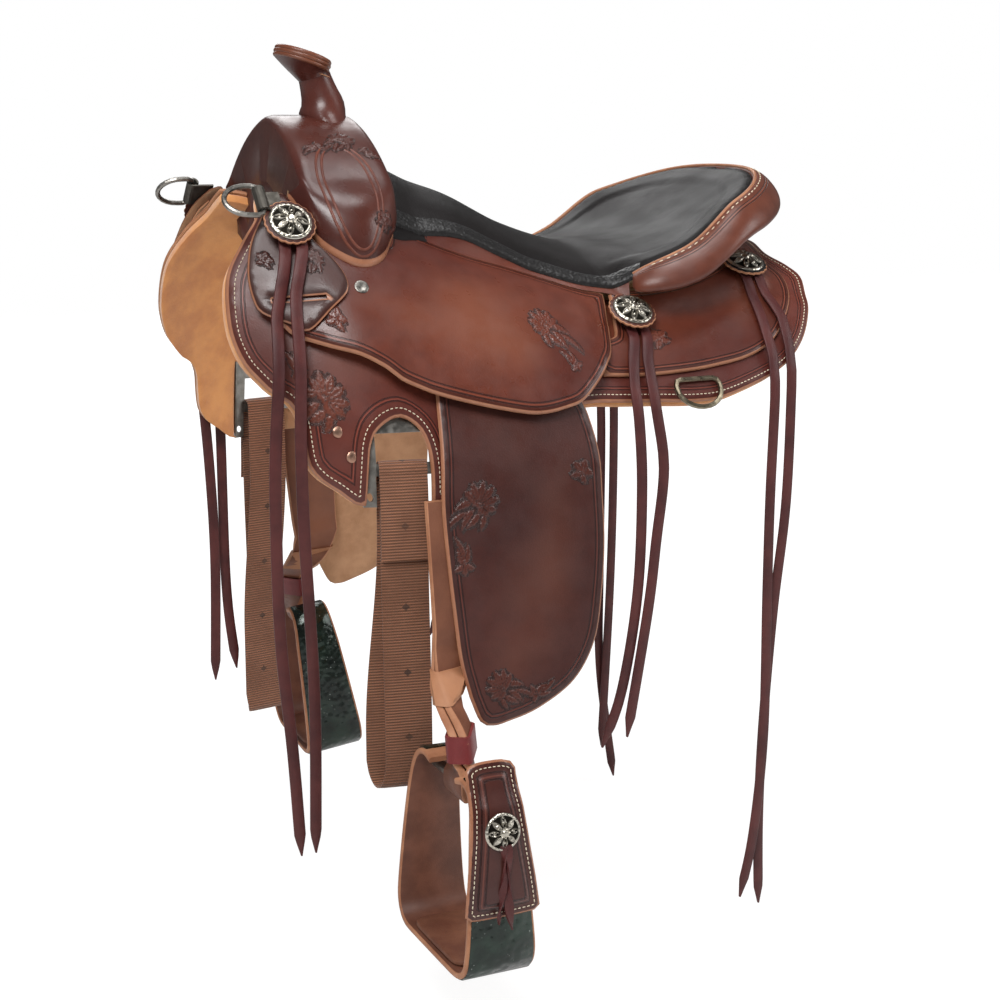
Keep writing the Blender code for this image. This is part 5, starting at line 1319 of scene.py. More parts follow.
def leg_turn(side):
    """Turns points of the far leg to where it rests, or None for the near leg."""
    if side == LEFT:
        return None
    pivot = hinge_point(side)
    turn = np.array(Matrix.Rotation(-FAR_REST_SWING, 3, Vector((0, side, FLAT_SLOPE)).normalized()))
    return lambda p: (np.asarray(p, float) - pivot) @ turn.T + pivot


def moved(side, rings):
    """Rings of points, turned with the far leg."""
    turn = leg_turn(side)
    r = np.array(rings, float)
    return r if turn is None else turn(r.reshape(-1, 3)).reshape(r.shape)


def strap_at(z):
    """The stirrup leather's middle, width, thickness and turn at a height."""
    down_z = [-s for s in STRAP_Z]
    x, wide, thick, turn = (float(np.interp(-z, down_z, v)) for v in (STRAP_X, STRAP_WIDE, STRAP_THICK, STRAP_TURN))
    spare = FENDER_CLEAR + 4 * rise(z, (-280, -302))
    near = float(on_fender(RIGHT, x, z, -FENDER_THICK / 2 - spare - thick / 2)[1])
    return x, near + (STIRRUP_MID[1] - near) * rise(z, STRAP_OUT_Z), wide, thick, math.radians(turn)


def chamfered(half, low, high, k):
    """A flat section with its corners cut by k."""
    return [(k - half, low), (half - k, low), (half, low + k), (half, high - k), (half - k, high), (k - half, high),
            (-half, high - k), (-half, low + k)]


def strap_ring(side, z, low, high, grow=0.0, corner=1.2):
    """A rounded strip in the strap's section, between two shares of its thickness."""
    x, y, wide, thick, turn = strap_at(z)
    flat = chamfered(wide / 2 + grow, thick * low - grow, thick * high + grow, corner)
    one, two = np.array([math.cos(turn), -math.sin(turn)]), np.array([math.sin(turn), math.cos(turn)])
    spots = [one * p + two * q for p, q in flat]
    return [(x + p[0], side * (y + p[1]), z) for p in spots]


def strap_band(name, side, zs, grow, thick, mat, body, slot):
    inner = [strap_ring(side, z, -0.5, 0.5, grow, 2.5) for z in zs]
    outer = [strap_ring(side, z, -0.5, 0.5, grow + thick, 3.5) for z in zs]
    rings = [[inner[0][k], outer[0][k], outer[1][k], inner[1][k]] for k in range(8)]
    return loft(name, moved(side, rings), mat, body, slot, closed=True)


def bow_path():
    """The stirrup's inner line and its width along it."""
    both = [*((-h, z, w) for h, z, w in BOW), *BOW[-2::-1]]
    pts = smooth_run([(h, z) for h, z, _ in both], 4)
    wide = smooth_run([(w, 0) for _, _, w in both], 1000)[:, 0]
    keys, run = lengths(np.array([(h, z) for h, z, _ in both])), lengths(pts)
    return pts, np.interp(run / run[-1], keys / keys[-1], wide)


def stirrup_band(name, side, word, low, high, narrow, mats, inner_mats, skip=0):
    """A layer of the stirrup's bow, between two distances out from its inner line."""
    pts, wide = bow_path()
    t = unit(np.gradient(pts, axis=0))
    out = np.stack([t[:, 1], -t[:, 0]], 1)
    if out[len(out) // 2, 1] > 0:
        out = -out
    x, y = STIRRUP_MID
    rings = []
    for p, o, w in list(zip(pts, out, wide))[skip:len(pts) - skip]:
        flat = chamfered(w / 2 - narrow, low, high, 1)
        rings.append([(x + a, side * (y + p[0] + o[0] * b), p[1] + o[1] * b) for a, b in flat])
    made = loft(name, moved(side, rings), mats, f"foot_{word}", "stirrup_metal",
                face_mats=inner_mats * (len(rings) - 1) + [1, 1])
    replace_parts(made, f"stirrup_{word}")


def squircle(x0, y0, z, half_x, half_y):
    spots = []
    for k in range(TREAD_TURNS):
        turn = math.pi * (2 * k + 1) / TREAD_TURNS
        c, s = math.cos(turn), math.sin(turn)
        spots.append((x0 + half_x * math.copysign(abs(c) ** TREAD_POWER, c),
                      y0 + half_y * math.copysign(abs(s) ** TREAD_POWER, s), z))
    return spots


def on_cover(side, x, z, lift):
    """A spot on the leather over the stirrup's outer side."""
    h = np.interp(-np.asarray(z, float), [-q for q, _ in COVER_H], [q for _, q in COVER_H])
    y = side * (STIRRUP_MID[1] + h + BOW_THICK + GAP + lift)
    return np.stack([x + 0 * h, y, z + COVER_SLANT * lift], -1)


def puff(_, z, far):
    """The cover's padded middle."""
    return PUFF_HIGH * rise(far, (8.5, 13.5)) * (0.6 + 0.4 * rise(z, (-385, -425)))


def cover_loop():
    x0 = STIRRUP_MID[0]
    half = smooth_run([(h, z) for z, h in COVER_HALF], 6)
    right, left = [(x0 + h, z) for h, z in half], [(x0 - h, z) for h, z in half[::-1]]
    top = [(left[-1][0], COVER_HALF[0][0]), *((x0 + h, z) for h, z in COVER_TOP), (right[0][0], COVER_HALF[0][0])]
    return outline(top, right, [right[-1], *((x0 + h, z) for h, z in COVER_FOOT), left[0]], left)


def stirrup(side, word):
    body, turn = f"foot_{word}", leg_turn(side)
    x0, y0 = STIRRUP_MID
    stirrup_band(f"stirrup_{word}_look", side, word, 0, BOW_THICK - 1.6, 0, [BROWN_IN, EDGE_TAN], [0] + [1] * 7)
    stirrup_band(f"stirrup_plate_{word}", side, word, BOW_THICK - 1.8, BOW_THICK, 2.2, [HAMMERED_MAT, HAMMERED_MAT],
                 [0] * 8, 3)
    low = BOW[-1][1] + GAP
    high = low + TREAD_SIZE[2]
    rings = [squircle(x0, y0, z, TREAD_SIZE[1] / 2 + grow, TREAD_SIZE[0] / 2 + grow)
             for z, grow in ((low, -1.2), (low + 1, 0), (high - 1.2, 0), (high, -1.2))]
    tread = loft(f"stirrup_tread_{word}_look", moved(side, np.array(rings) * (1, side, 1)), TREAD_MAT, body,
                 "skirt_leather")
    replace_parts(tread, f"stirrup_tread_{word}")
    loop = cover_loop()
    cover = sheet_piece(f"stirrup_cover_{word}_look", side, loop, 0, COVER_THICK, [STIRRUP_COVER_MAT, EDGE_TAN, FLESH],
                        body, "dark_leather", pitch=3.2, surface=on_cover, move=turn, relief=puff)
    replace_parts(cover, f"stirrup_cover_{word}")
    stitch_edge(f"cover_seam_{word}", side, loop, COVER_SEAM, COVER_THICK, body, surface=on_cover, move=turn)
    back, ahead = (on_cover(side, float(x0), CONCHO_Z, CONCHO_LIFT + more) for more in (0, 1))
    if turn is not None:
        back, ahead = turn(back), turn(ahead)
    concho = concho_look(f"stirrup_concho_{word}_look", back, ahead - back, (0, 0, 1), body, STIRRUP_CONCHO)
    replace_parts(concho, f"stirrup_concho_{word}")
    tassel(f"tie_{word}", side, x0, body)


def tassel(name, side, x0, body):
    """Two short twisted ends of the tie that comes out under the stirrup's concho."""
    for k, (dx, end, spin) in enumerate(TIES):
        rings = []
        for t in np.linspace(0, 1, 40):
            z = TIE_Z + (end - TIE_Z) * t
            x = x0 + dx * (0.3 + 1.4 * t) + 2.0 * math.sin(5 * t + k)
            p = on_cover(side, float(x), float(z), TIE_LIFT - 2.5 * t)
            wide = TIE_WIDE * (1 - ease((t - 0.88) / 0.12) * 0.9) * (0.75 + 0.25 * math.cos(9 * t))
            a = spin * t * 2.2 + 0.5
            one = np.array((math.cos(a), side * math.sin(a) * 0.6, 0)) * wide
            two = np.array((-math.sin(a) * 0.6, side * math.cos(a), 0)) * TIE_THICK
            rings.append([p + one + two, p - one + two, p - one - two, p + one - two])
        loft(f"{name}_{k}", moved(side, rings), STRING_MAT, body, "dark_leather", angle=40)


FENDER_LOOP = outline(FENDER_TOP, FENDER_BACK, FENDER_FRONT)


def leg(side, word):
    body = f"leg_{word}"
    fender = sheet_piece(f"fender_{word}_look", side, FENDER_LOOP, -FENDER_THICK / 2, FENDER_THICK / 2,
                         [FENDER_MAT, EDGE_TAN, FLESH], body, "dark_leather", surface=on_fender,
                         move=leg_turn(side))
    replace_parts(fender, f"fender_{word}")
    for ply, low, high in (("inner", -0.5, -0.04), ("outer", 0.04, 0.5)):
        strap = loft(f"stirrup_leather_{word}_{ply}", moved(side, [strap_ring(side, z, low, high) for z in LEATHER_Z]),
                     [STRAP_FACE, EDGE_TAN], body, "raw_leather",
                     face_mats=[0, 1, 1, 1, 0, 1, 1, 1] * (len(LEATHER_Z) - 1) + [1, 1])
        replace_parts(strap, f"stirrup_leather_{word}")
    strap_band(f"keeper_{word}", side, KEEPER_Z, 0.5, 1.6, RAW, body, "raw_leather")
    hobble = strap_band(f"hobble_strap_{word}_look", side, HOBBLE_Z, GAP, 2.5, HOBBLE_MAT, body, "string_leather")
    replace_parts(hobble, f"hobble_strap_{word}")
    stirrup(side, word)


# ---- conchos, rosettes, strings and rivets ----
PETALS, RIM_BEADS = 8, 26
CONCHO_STEPS, CONCHO_SIZE = 120, 20.0
ROSETTE_STEPS, ROSETTE_SIZE, ROSETTE_SCALLOPS = 240, 23.5, 20
UP = (0.2, 0, 1)


def petals(r, a, size):
    """Height and darkness of the concho's flower at a radius and angle."""
    share = r / size
    dome = 5.0 * (1 - share**2)
    sector = 2 * math.pi / PETALS
    k = np.floor(a / sector + 0.5)
    phi = (a - k * sector) * r
    odd = np.mod(k, 2)
    along = (share - 0.2) / 0.66
    half = np.where((along > 0) & (along < 1), np.sin(math.pi * np.clip(along, 0, 1)) ** 0.7, 0) * size * 0.165
    inner = ease((half - np.abs(phi)) / 0.9)
    core = ease((half * 0.62 - np.abs(phi)) / 0.8) * ((along > 0.12) & (along < 0.86))
    ridge = inner * (1 - core)
    between = (1 - inner) * ((share > 0.24) & (share < 0.84))
    boss = ease((0.19 - share) / 0.05)
    rim = ease((share - 0.86) / 0.03) * (0.7 + 0.3 * np.cos(a * RIM_BEADS))
    leaf = 1.1 * ridge + 0.5 * core * odd - 1.0 * core * (1 - odd) - 0.9 * between
    height = dome + leaf + 1.6 * boss + 0.7 * rim
    seed = ease((1.5 - np.hypot(phi, (along - 0.5) * size * 0.6)) / 0.8)
    height = height + seed * 0.9
    dark = np.clip(core * (1 - odd) + between + core * odd * 0.35 - seed, 0, 1)
    return height, dark


def concho_look(name, base, out, up, body, size=CONCHO_SIZE):
    base, count = np.array(base, float), CONCHO_STEPS
    out, one, two = axes_of(out, up)
    turns = np.linspace(0, 2 * math.pi, count, endpoint=False)
    rings = [circle(base, one, two, size - 3, count), circle(base, one, two, size, count) + out * 0.8]
    dark = [np.zeros(2 * count)]
    for r in [*np.linspace(size - 0.6, 0.8, 30), 0.3]:
        high, sunk = petals(r, turns, size)
        rings.append(circle(base, one, two, r, count) + out * (1 + high)[:, None])
        dark.append(sunk)
    return loft(name, rings, SILVER_MAT, body, "antique_silver", attrs={"sunk": np.concatenate(dark)}, angle=70)


def rosette(name, base, out, up, body, face):
    """A scalloped leather washer with a pale edge."""
    out, one, two = axes_of(out, up)
    turns = np.linspace(0, 2 * math.pi, ROSETTE_STEPS, endpoint=False)
    wave = ROSETTE_SIZE * (0.98 + 0.045 * np.abs(np.cos(turns * ROSETTE_SCALLOPS / 2)))
    rings = [circle(np.array(base, float), one, two, share * wave, ROSETTE_STEPS) + out * h
             for share, h in ((0.3, 0), (1, 0), (1, 1.4), (0.96, 2), (0.3, 2.2))]
    face_mats = [mat for mat in (0, 1, 1, 0) for _ in range(ROSETTE_STEPS)] + [0, 0]
    return loft(name, rings, [face, EDGE_TAN], body, "dark_leather", face_mats=face_mats)


STRING_WIDE, STRING_THICK = 11, 2.5
STRING_LOOP = 7.5
CLIP_THICK, CLIP_V = 2, 185
STRING_FREE = 3.4
ROSETTE_UNDER = 2.1
# shares of the string's half width and half thickness round its section
STRING_SECTION = ((1, 0.5), (0.86, 1), (-0.86, 1), (-1, 0.5), (-1, -0.5), (-0.86, -1), (0.86, -1), (1, -0.5))
FRONT_SPOT, MID_SPOT, REAR_SPOT = (-284, 55), (53, -32), (200, 2)
# each route: over the leather as (x, z), then free as (x, y, z), for the string's first end and its second
FRONT_NEAR = (
    ((-292, 38), (-301, 10), (-308, -12)),
    ((-313, 180, -50), (-318, 182, -110), (-321, 185, -170), (-320, 186, -290), (-311, 186, -400), (-305, 186, -502)),
    ((-277, 38), (-289, 8), (-292, -11)),
    ((-294, 183, -50), (-297, 188, -115), (-296, 189, -200), (-290, 189, -350), (-292, 189, -500)),
)
FRONT_FAR = (
    ((-292, 38), (-295, 10), (-293, -12)),
    ((-288, 187, -50), (-280, 193, -115), (-273, 197, -200), (-270, 197, -308), (-274, 197, -446)),
    ((-277, 38), (-280, 8), (-277, -14), (-273, -30)),
    ((-268, 193, -60), (-262, 201, -115), (-257, 205, -160), (-256, 205, -340), (-247, 205, -438)),
)
MID_ROUTE = (
    ((47, -46), (36, -66)),
    ((30, 206, -80), (30, 215, -108), (34, 216, -176), (31, 216, -280), (15, 216, -377), (-6, 216, -432)),
    ((61, -46), (51, -66)),
    ((49, 206, -80), (50, 215, -108), (56, 219, -160), (49, 219, -229), (41, 219, -299), (20, 219, -424)),
)
REAR_NEAR = (
    ((193, -14), (188, -44)),
    ((187, 202, -60), (186, 207, -76), (185, 211, -100), (183, 211, -200), (183, 211, -299), (184, 211, -448),
     (175, 211, -555), (161, 211, -622)),
    ((208, -14), (212, -36)),
    ((211, 194, -52), (209, 201, -68), (208, 205, -92), (206, 205, -210), (195, 205, -318), (187, 205, -440),
     (185, 205, -540), (188, 205, -636)),
)
REAR_FAR = (
    ((193, -14), (198, -42)),
    ((200, 197, -56), (206, 204, -76), (212, 208, -100), (217, 208, -200), (217, 208, -380), (219, 208, -500),
     (240, 208, -645)),
    ((208, -14), (215, -34)),
    ((218, 191, -47), (224, 199, -66), (228, 203, -95), (231, 202, -200), (229, 202, -380), (219, 202, -600)),
)


def front_seat_lift(x, v):
    """The front jockey's top, with the clip over it where there is one."""
    return front_jockey_out(x, v) + (GAP + CLIP_THICK if v < CLIP_V else 0)


def hanging_string(name, node, side, spot, over, free, foot, lift, near_clear):
    """One flat string from under its concho over the leather and down to its pointed tip."""
    middle_v = at_spot(*spot)

    def resting(x, v):
        past = ease((math.hypot(x - spot[0], v - middle_v) - 9) / 22)
        clear = near_clear + (STRING_FREE - near_clear) * past
        return [*on_back(side, x, v, float(lift(x, v)) + clear + STRING_THICK / 2), *face_out(side, x, v)]

    flat = [(foot, middle_v + 4)] + [(x, at_spot(x, z)) for x, z in over]
    rest = [resting(x, v) for x, v in smooth_run(flat, 7)]
    line = [[x, side * y, z, 0, side, 0] for x, y, z in free]
    fall = smooth_run([rest[-1], *line], 12)
    path = thinned(np.array([*rest[:-1], *fall]), 3)
    run = lengths(path[:, :3])
    even = np.concatenate([np.arange(0, run[-1] - 14, 8), run[-1] - np.array([13, 8, 4, 0])])
    path = at_lengths(even, run, path)
    spots, outs = path[:, :3], path[:, 3:]
    along = np.gradient(spots, axis=0)
    rings = []
    for p, t, n, s in zip(spots, along, outs, even):
        wide = np.cross(t, n)
        size = STRING_WIDE / 2 * min(1, 0.12 + (run[-1] - s) / 22) * (0.8 + 0.2 * ease(s / 20))
        wide = wide / np.linalg.norm(wide) * size
        deep = n / np.linalg.norm(n) * STRING_THICK / 2
        rings.append([p + wide * w + deep * h for w, h in STRING_SECTION])
    made = loft(name, rings, STRING_MAT, "saddle", "string_leather", angle=60)
    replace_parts(made, node)


# each concho: its place, the leather under it, its strings' routes, their clearance, and how it sits on them
PLACES = (
    ("front", FRONT_SPOT, front_seat_lift, {LEFT: FRONT_NEAR, RIGHT: FRONT_FAR}, 0.9, 0.3),
    ("mid", MID_SPOT, rear_jockey_out, {LEFT: MID_ROUTE, RIGHT: MID_ROUTE}, 2.2, -2.4),
    ("rear", REAR_SPOT, rear_jockey_out, {LEFT: REAR_NEAR, RIGHT: REAR_FAR}, 0.9, 1.2),
)


def strings():
    for place, spot, lift, routes, near_clear, _ in PLACES:
        for side, word in SIDES:
            over_a, free_a, over_b, free_b = routes[side]
            node = f"{place}_strings_{word}"
            for k, over, free, foot in ((1, over_a, free_a, -STRING_LOOP), (2, over_b, free_b, STRING_LOOP)):
                hanging_string(f"{node}_{k}", node, side, spot, over, free, spot[0] + foot, lift, near_clear)


def conchos():
    for place, spot, lift, _, near_clear, sit in PLACES:
        v = at_spot(*spot)
        top = max(float(lift(spot[0] + dx, v + dv)) for dx in (-15, 0, 15) for dv in (-15, 0, 15))
        for side, word in SIDES:
            base = on_back(side, spot[0], v, top + near_clear + STRING_THICK + sit)
            out = face_out(side, spot[0], v)
            concho = concho_look(f"{place}_concho_{word}_look", base, out, UP, "saddle")
            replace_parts(concho, f"{place}_concho_{word}")
            rosette(f"{place}_rosette_{word}", base - out * ROSETTE_UNDER, out, UP, "saddle",
                    BLACK_MAT if place == "rear" else PLAIN_DARK)


RIVETS, RIVET_SIZE = ((-263, -106), (-253, -128), (-168, -128)), 5.2
FERRULE, FERRULE_SIZE = (-229, 7), 6.5


def rivet(name, side, spot, lift, size, mat, hollow=False):
    """A rivet's head, or a ferrule that is hollow in the middle."""
    x, v = spot[0], at_spot(*spot)
    high = (0.2, 0.0) if hollow else (1.5, 1.6)
    profile = [(size * 0.4, -1), (size, -1), (size, 0.5), (size * 0.8, 1.1), (size * 0.45, high[0]), (0.2, high[1])]
    lathe(name, profile, on_back(side, x, v, lift), face_out(side, x, v), mat, "saddle", "steel", 24)


def rivets():
    for side, word in SIDES:
        for k, spot in enumerate(RIVETS):
            rivet(f"rivet_{word}_{k}", side, spot, SKIRT_OUT, RIVET_SIZE, COPPER_MAT)
        over = float(seat_jockey_out(FERRULE[0], at_spot(*FERRULE)))
        rivet(f"ferrule_{word}", side, FERRULE, over, FERRULE_SIZE, STEEL_MAT, True)


# ---- latigos ----
LATIGO_X, LATIGO_WIDE, LATIGO_THICK = -208, 44, 2
LATIGO_DROP, LATIGO_FLAP = 291, 81
LATIGO_EXTRA = {LEFT: 0, RIGHT: 48}
WRAP_HALF, FOLD_R = 7.5, 9
PLATE_LOW_Z, PLATE_BAR = -135, 11
LATIGO_SKEW = (-13, 2)  # how far the back and the front ply stray from the fold's middle
LATIGO_COLS = 9


def latigo(side, word):
    """Webbing over the plate's bar: a short flap outside, then down behind, round the fold and up in front."""
    z = PLATE_LOW_Z - PLATE_BAR / 2
    ends = [on_back(side, LATIGO_X + dx, at_spot(LATIGO_X + dx, z), -GAP - 1.5)
            for dx in (-LATIGO_WIDE / 2, LATIGO_WIDE / 2)]
    run = ends[1] - ends[0]
    run[2] = 0
    centre, run = (ends[0] + ends[1]) / 2, run / np.linalg.norm(run)
    out = np.array([-run[1], run[0], 0]) * side
    wrap = [(WRAP_HALF * math.cos(a), WRAP_HALF * math.sin(a)) for a in np.linspace(-0.3, math.pi + 0.2, 20)]
    flap = [(13.5, -LATIGO_FLAP), (12.5, -54), (11.2, -31), (9.6, -14)]
    low = [(-7.6, -24), (-8, -90), (-8.5, -190), (-8, 14 - LATIGO_DROP)]
    middle = FOLD_R - 8
    fold = [(middle - FOLD_R * math.cos(a), -LATIGO_DROP - FOLD_R * math.sin(a)) for a in np.linspace(0, math.pi, 17)]
    front = [(middle + FOLD_R, 16 - LATIGO_DROP), (9, -200), (8.5, -110), (8.2, -60), (7.4, -36)]
    path = [(p, q - LATIGO_EXTRA[side] if q < -150 else q) for p, q in flap + wrap + low + fold + front]
    p = thinned(smooth_run(path, 5), 0.9)
    t = unit(np.gradient(p, axis=0))
    n = np.stack([-t[:, 1], t[:, 0]], 1)
    far = lengths(p)
    cols = np.linspace(-1, 1, LATIGO_COLS)
    flat = [(c * LATIGO_WIDE / 2, h) for h, row in ((1, cols), (-1, cols[::-1])) for c in row]
    depth = rise(p[:, 1], (-60, -250))
    turn_at = far[np.argmin(p[:, 1])]
    slide = depth * (LATIGO_SKEW[1] + (LATIGO_SKEW[0] - LATIGO_SKEW[1]) * ease(0.5 - (far - turn_at) / 60))
    rings, alongs, sides = [], [], []
    for spot, way, s, skew in zip(p, n, far, slide):
        ring = []
        for w, h in flat:
            thin = LATIGO_THICK / 2 * (1 if abs(w) < LATIGO_WIDE / 2 - 0.1 else 0.6)
            a, b = spot + way * h * thin
            ring.append(centre + run * (w + skew) + out * a + np.array([0, 0, b]))
            alongs.append(s)
            sides.append(w)
        rings.append(ring)
    made = loft(f"latigo_{word}_look", rings, WEB_MAT, f"cinch_strap_{word}", "webbing",
                attrs={"along": alongs, "across": sides}, angle=60)
    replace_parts(made, f"latigo_{word}")


# ---- tooled flowers: raised leaves and petals on a dark, stippled ground ----
TOOL_MARGIN = 4.5  # the flowers stop this far inside an edge
TOOL_REACH, TOOL_PITCH = 34, 0.85
TOOL_GROUND = 3.7  # the dark ground goes this far past a leaf
# leaves as (start u, start v, angle in degrees, length, half width, bend), with v down the leather
MOTIFS = {
    "bloom": (
        *((0, 0, a, n, 4.4, 0.0) for a, n in ((-152, 17), (-122, 20), (-92, 21), (-62, 21), (-32, 20), (-2, 17),
                                              (30, 13))),
        (-3, 5, 128, 19, 3.4, 0.02), (2, 6, 100, 16, 3.2, -0.02), (-6, 0, 168, 16, 3.6, 0.03),
        (-8, 8, 145, 27, 2.6, 0.014), (6, 6, 62, 13, 3.0, -0.03),
    ),
    "bud": (
        (0, 0, -150, 12, 4.6, 0.02), (0, 0, -90, 12, 4.6, 0.0), (0, 0, -28, 12, 4.6, -0.02),
        (1, 2, 60, 11, 3.2, 0.03), (-1, 2, 120, 11, 3.2, -0.03),
    ),
    "leaf": (
        (0, 0, 180, 26, 3.6, 0.012), (3, -1, 215, 20, 3.4, 0.02), (4, 1, 150, 20, 3.2, -0.02),
        (2, 0, 0, 14, 4.0, 0.0), (4, 0, -50, 13, 3.6, 0.02), (4, 0, 50, 13, 3.6, -0.02),
    ),
}


def leaves(kind, p, q):
    """The motif's height at flat points, the room inside its nearest leaf, and the creases between leaves."""
    height, best, second = np.zeros_like(p), np.full_like(p, -9.0), np.full_like(p, -9.0)
    for u0, v0, way, long, half, bend in MOTIFS[kind]:
        w = math.radians(way)
        s = (p - u0) * math.cos(w) + (q - v0) * math.sin(w)
        t = -(p - u0) * math.sin(w) + (q - v0) * math.cos(w) + bend * s**2
        share = np.clip(s / long, 0, 1)
        wide = half * np.sin(math.pi * share**0.75) ** 0.8 * (1 + 0.12 * np.cos(s * 1.9))
        room = np.where((s > 0) & (s < long), wide - np.abs(t), -9.0)
        room = np.maximum(room, 1.0 - np.hypot(s, t))
        rib = 0.55 + 0.45 * ease(np.abs(t) / 0.7) - 0.18 * np.cos((s * 0.8 - np.abs(t)) * 2.4)
        mine = 1.55 * ease(room / 1.3) * rib * (1 - 0.25 * share)
        height = np.where(room > best, mine, height)
        second = np.maximum(second, np.minimum(best, room))
        best = np.maximum(best, room)
    crease = ease((0.7 - (best - second)) / 0.7) * (second > 0)
    eye = 2.6 - np.hypot(p, q)
    height = np.where(eye > 0, 1.2 + 0.5 * ease(eye / 1.5), height * (1 - 0.7 * crease))
    return height, np.maximum(best, eye), crease


def tooling(name, side, spot, kind, turn, size, surface, lift, body, slot, mat, mirror=1, move=None, within=None):
    """Raised leaves on a sunk ground, laid on a surface round a spot."""
    count = int(2 * TOOL_REACH * size / TOOL_PITCH)
    line = np.linspace(-TOOL_REACH * size, TOOL_REACH * size, count)
    du, dv = np.meshgrid(line, line, indexing="ij")
    cosine, sine = math.cos(math.radians(turn)), math.sin(math.radians(turn))
    p, q = (du * cosine + dv * sine) / size * mirror, (-du * sine + dv * cosine) / size
    height, best, crease = leaves(kind, p, q)
    sunk = np.maximum(ease((0.45 - best) / 0.6) * ease((best + TOOL_GROUND) / 1.0), 0.85 * crease)
    vein = ease((0.6 - np.abs(height - 0.75)) / 0.6) * 0.4
    level = np.where(best > 0, 0.25 + height, -0.1 + 0.35 * ease((best + TOOL_GROUND) / 0.9))
    level = np.where(best < -3.0, -0.4, level)
    keep = best > -TOOL_GROUND
    if within is not None:
        flat = np.stack([(spot[0] + du).ravel(), (spot[1] + dv).ravel()], 1)
        near = inside(within, flat) & (from_edge(within, flat) > TOOL_MARGIN)
        keep &= near.reshape(keep.shape)
    cell = keep[:-1, :-1] & keep[1:, :-1] & keep[:-1, 1:] & keep[1:, 1:]
    used = np.zeros(p.shape, bool)
    for i, j in ((0, 0), (1, 0), (0, 1), (1, 1)):
        used[i:count - 1 + i, j:count - 1 + j] |= cell
    index = np.full(p.shape, -1)
    index[used] = np.arange(used.sum())
    u, v = spot[0] + du[used], spot[1] + dv[used]
    base = lift(u, v) if callable(lift) else lift
    points = surface(side, u, v, base + level[used])
    low, high = (surface(side, u[:1], v[:1], h) for h in (0.0, 5.0))
    if move is not None:
        points, low, high = move(points), move(low), move(high)
    i, j = np.nonzero(cell)
    faces = np.stack([index[i, j], index[i + 1, j], index[i + 1, j + 1], index[i, j + 1]], 1)
    tri = points[faces[0]]
    if np.dot(np.cross(tri[1] - tri[0], tri[2] - tri[0]), (high - low)[0]) < 0:
        faces = faces[:, ::-1]
    make(name, points, [tuple(f) for f in faces], mat, body, slot,
         attrs={"sunk": np.clip(sunk[used] + vein[used] * (best[used] > 0), 0, 1)}, angle=80)


def fender_face(side, x, down_z, lift):
    """A spot on the fender, its height counted downwards."""
    return on_fender(side, x, -down_z, lift)


FORK_TURN = 130  # radius for the distance round the swell


def fork_face(side, x, round_v, lift):
    """A spot on the fork's cover, found by a ray towards its middle."""
    points = []
    for px, v, h in zip(x, round_v, np.broadcast_to(lift, np.shape(x))):
        a = -v / FORK_TURN
        way = Vector((0, -side * math.cos(a), -math.sin(a)))
        start = Vector((px, 0, 60)) - way * 300
        hit, normal, _, _ = COVER_TREE.ray_cast(start * MM, way)
        if hit is None:
            hit, normal = (start + way * 170) * MM, -way
        points.append(np.array(hit) / MM + np.array(normal) * (1 if normal.dot(way) < 0 else -1) * h)
    return np.array(points)


SWELL_MID, SWELL_HALF, SWELL_GAP = (-221, -50), (28, 62), 5.5
SWELL_TURNS = np.radians(np.linspace(-66, 240, 110))
SWELL_SECTION = ((-0.3, -1.5), (0.55, -0.7), (0.75, 0), (0.55, 0.7), (-0.3, 1.5))


def fork_ring(side, word):
    """The beaded double line that runs round the swell."""
    for k, grow in enumerate((0, SWELL_GAP)):
        x = SWELL_MID[0] + (SWELL_HALF[0] - grow) * np.cos(SWELL_TURNS)
        v = SWELL_MID[1] + (SWELL_HALF[1] - grow) * np.sin(SWELL_TURNS)
        t = unit(np.stack([np.gradient(x), np.gradient(v)], 1))
        rows = [fork_face(side, x - t[:, 1] * dx, v + t[:, 0] * dx, h) for h, dx in SWELL_SECTION]
        points = np.array(rows).transpose(1, 0, 2).reshape(-1, 3)
        make(f"swell_line_{word}_{k}", points, grid_faces(len(x), len(rows)), BEAD_MAT, "saddle", "dark_leather")


def cover_tree():
    mesh = bpy.data.objects["fork_cover_look"].data
    return BVHTree.FromPolygons([v.co for v in mesh.vertices], [tuple(p.vertices) for p in mesh.polygons])


# each flower: its name and spot, then its motif, turn in degrees, size and mirroring
FORK_FLOWERS = (
    ("top", (-212, -116), "bloom", 10, 0.85, 1), ("top_front", (-240, -106), "leaf", -25, 0.7, 1),
    ("top_rear", (-192, -96), "leaf", 235, 0.6, 1), ("swell", (-196, -16), "bud", 40, 0.85, 1),
)
BACK_FLOWERS = (
    (SKIRT_OUT, TOOLED_WARM, "skirt_leather", skirt_loop(SKIRT_ARCH), (
        ("lobe", (-272, -79), "bloom", 25, 1.08, 1), ("lobe_tip", (-292, -50), "leaf", 62, 0.62, 1),
    )),
    (seat_jockey_out, TOOLED_WARM, "skirt_leather", SEAT_LOOP, (
        ("side", (-48, -40), "bloom", -12, 0.98, -1), ("side_stem", (-33, -68), "leaf", 60, 0.6, 1),
        ("corner", (-258, -14), "bud", 15, 0.85, 1),
    )),
    (rear_jockey_out, TOOLED_WARM, "skirt_leather", REAR_LOOP, (
        ("mid", (74, -48), "bud", -20, 1.05, 1), ("tail", (226, 14), "bloom", 35, 0.7, -1),
    )),
    (front_jockey_out, TOOLED_DARK, "dark_leather", FRONT_LOOP, (
        ("left", (-309, 34), "bud", 20, 0.7, 1), ("right", (-268, 30), "bloom", 5, 0.56, 1),
    )),
)
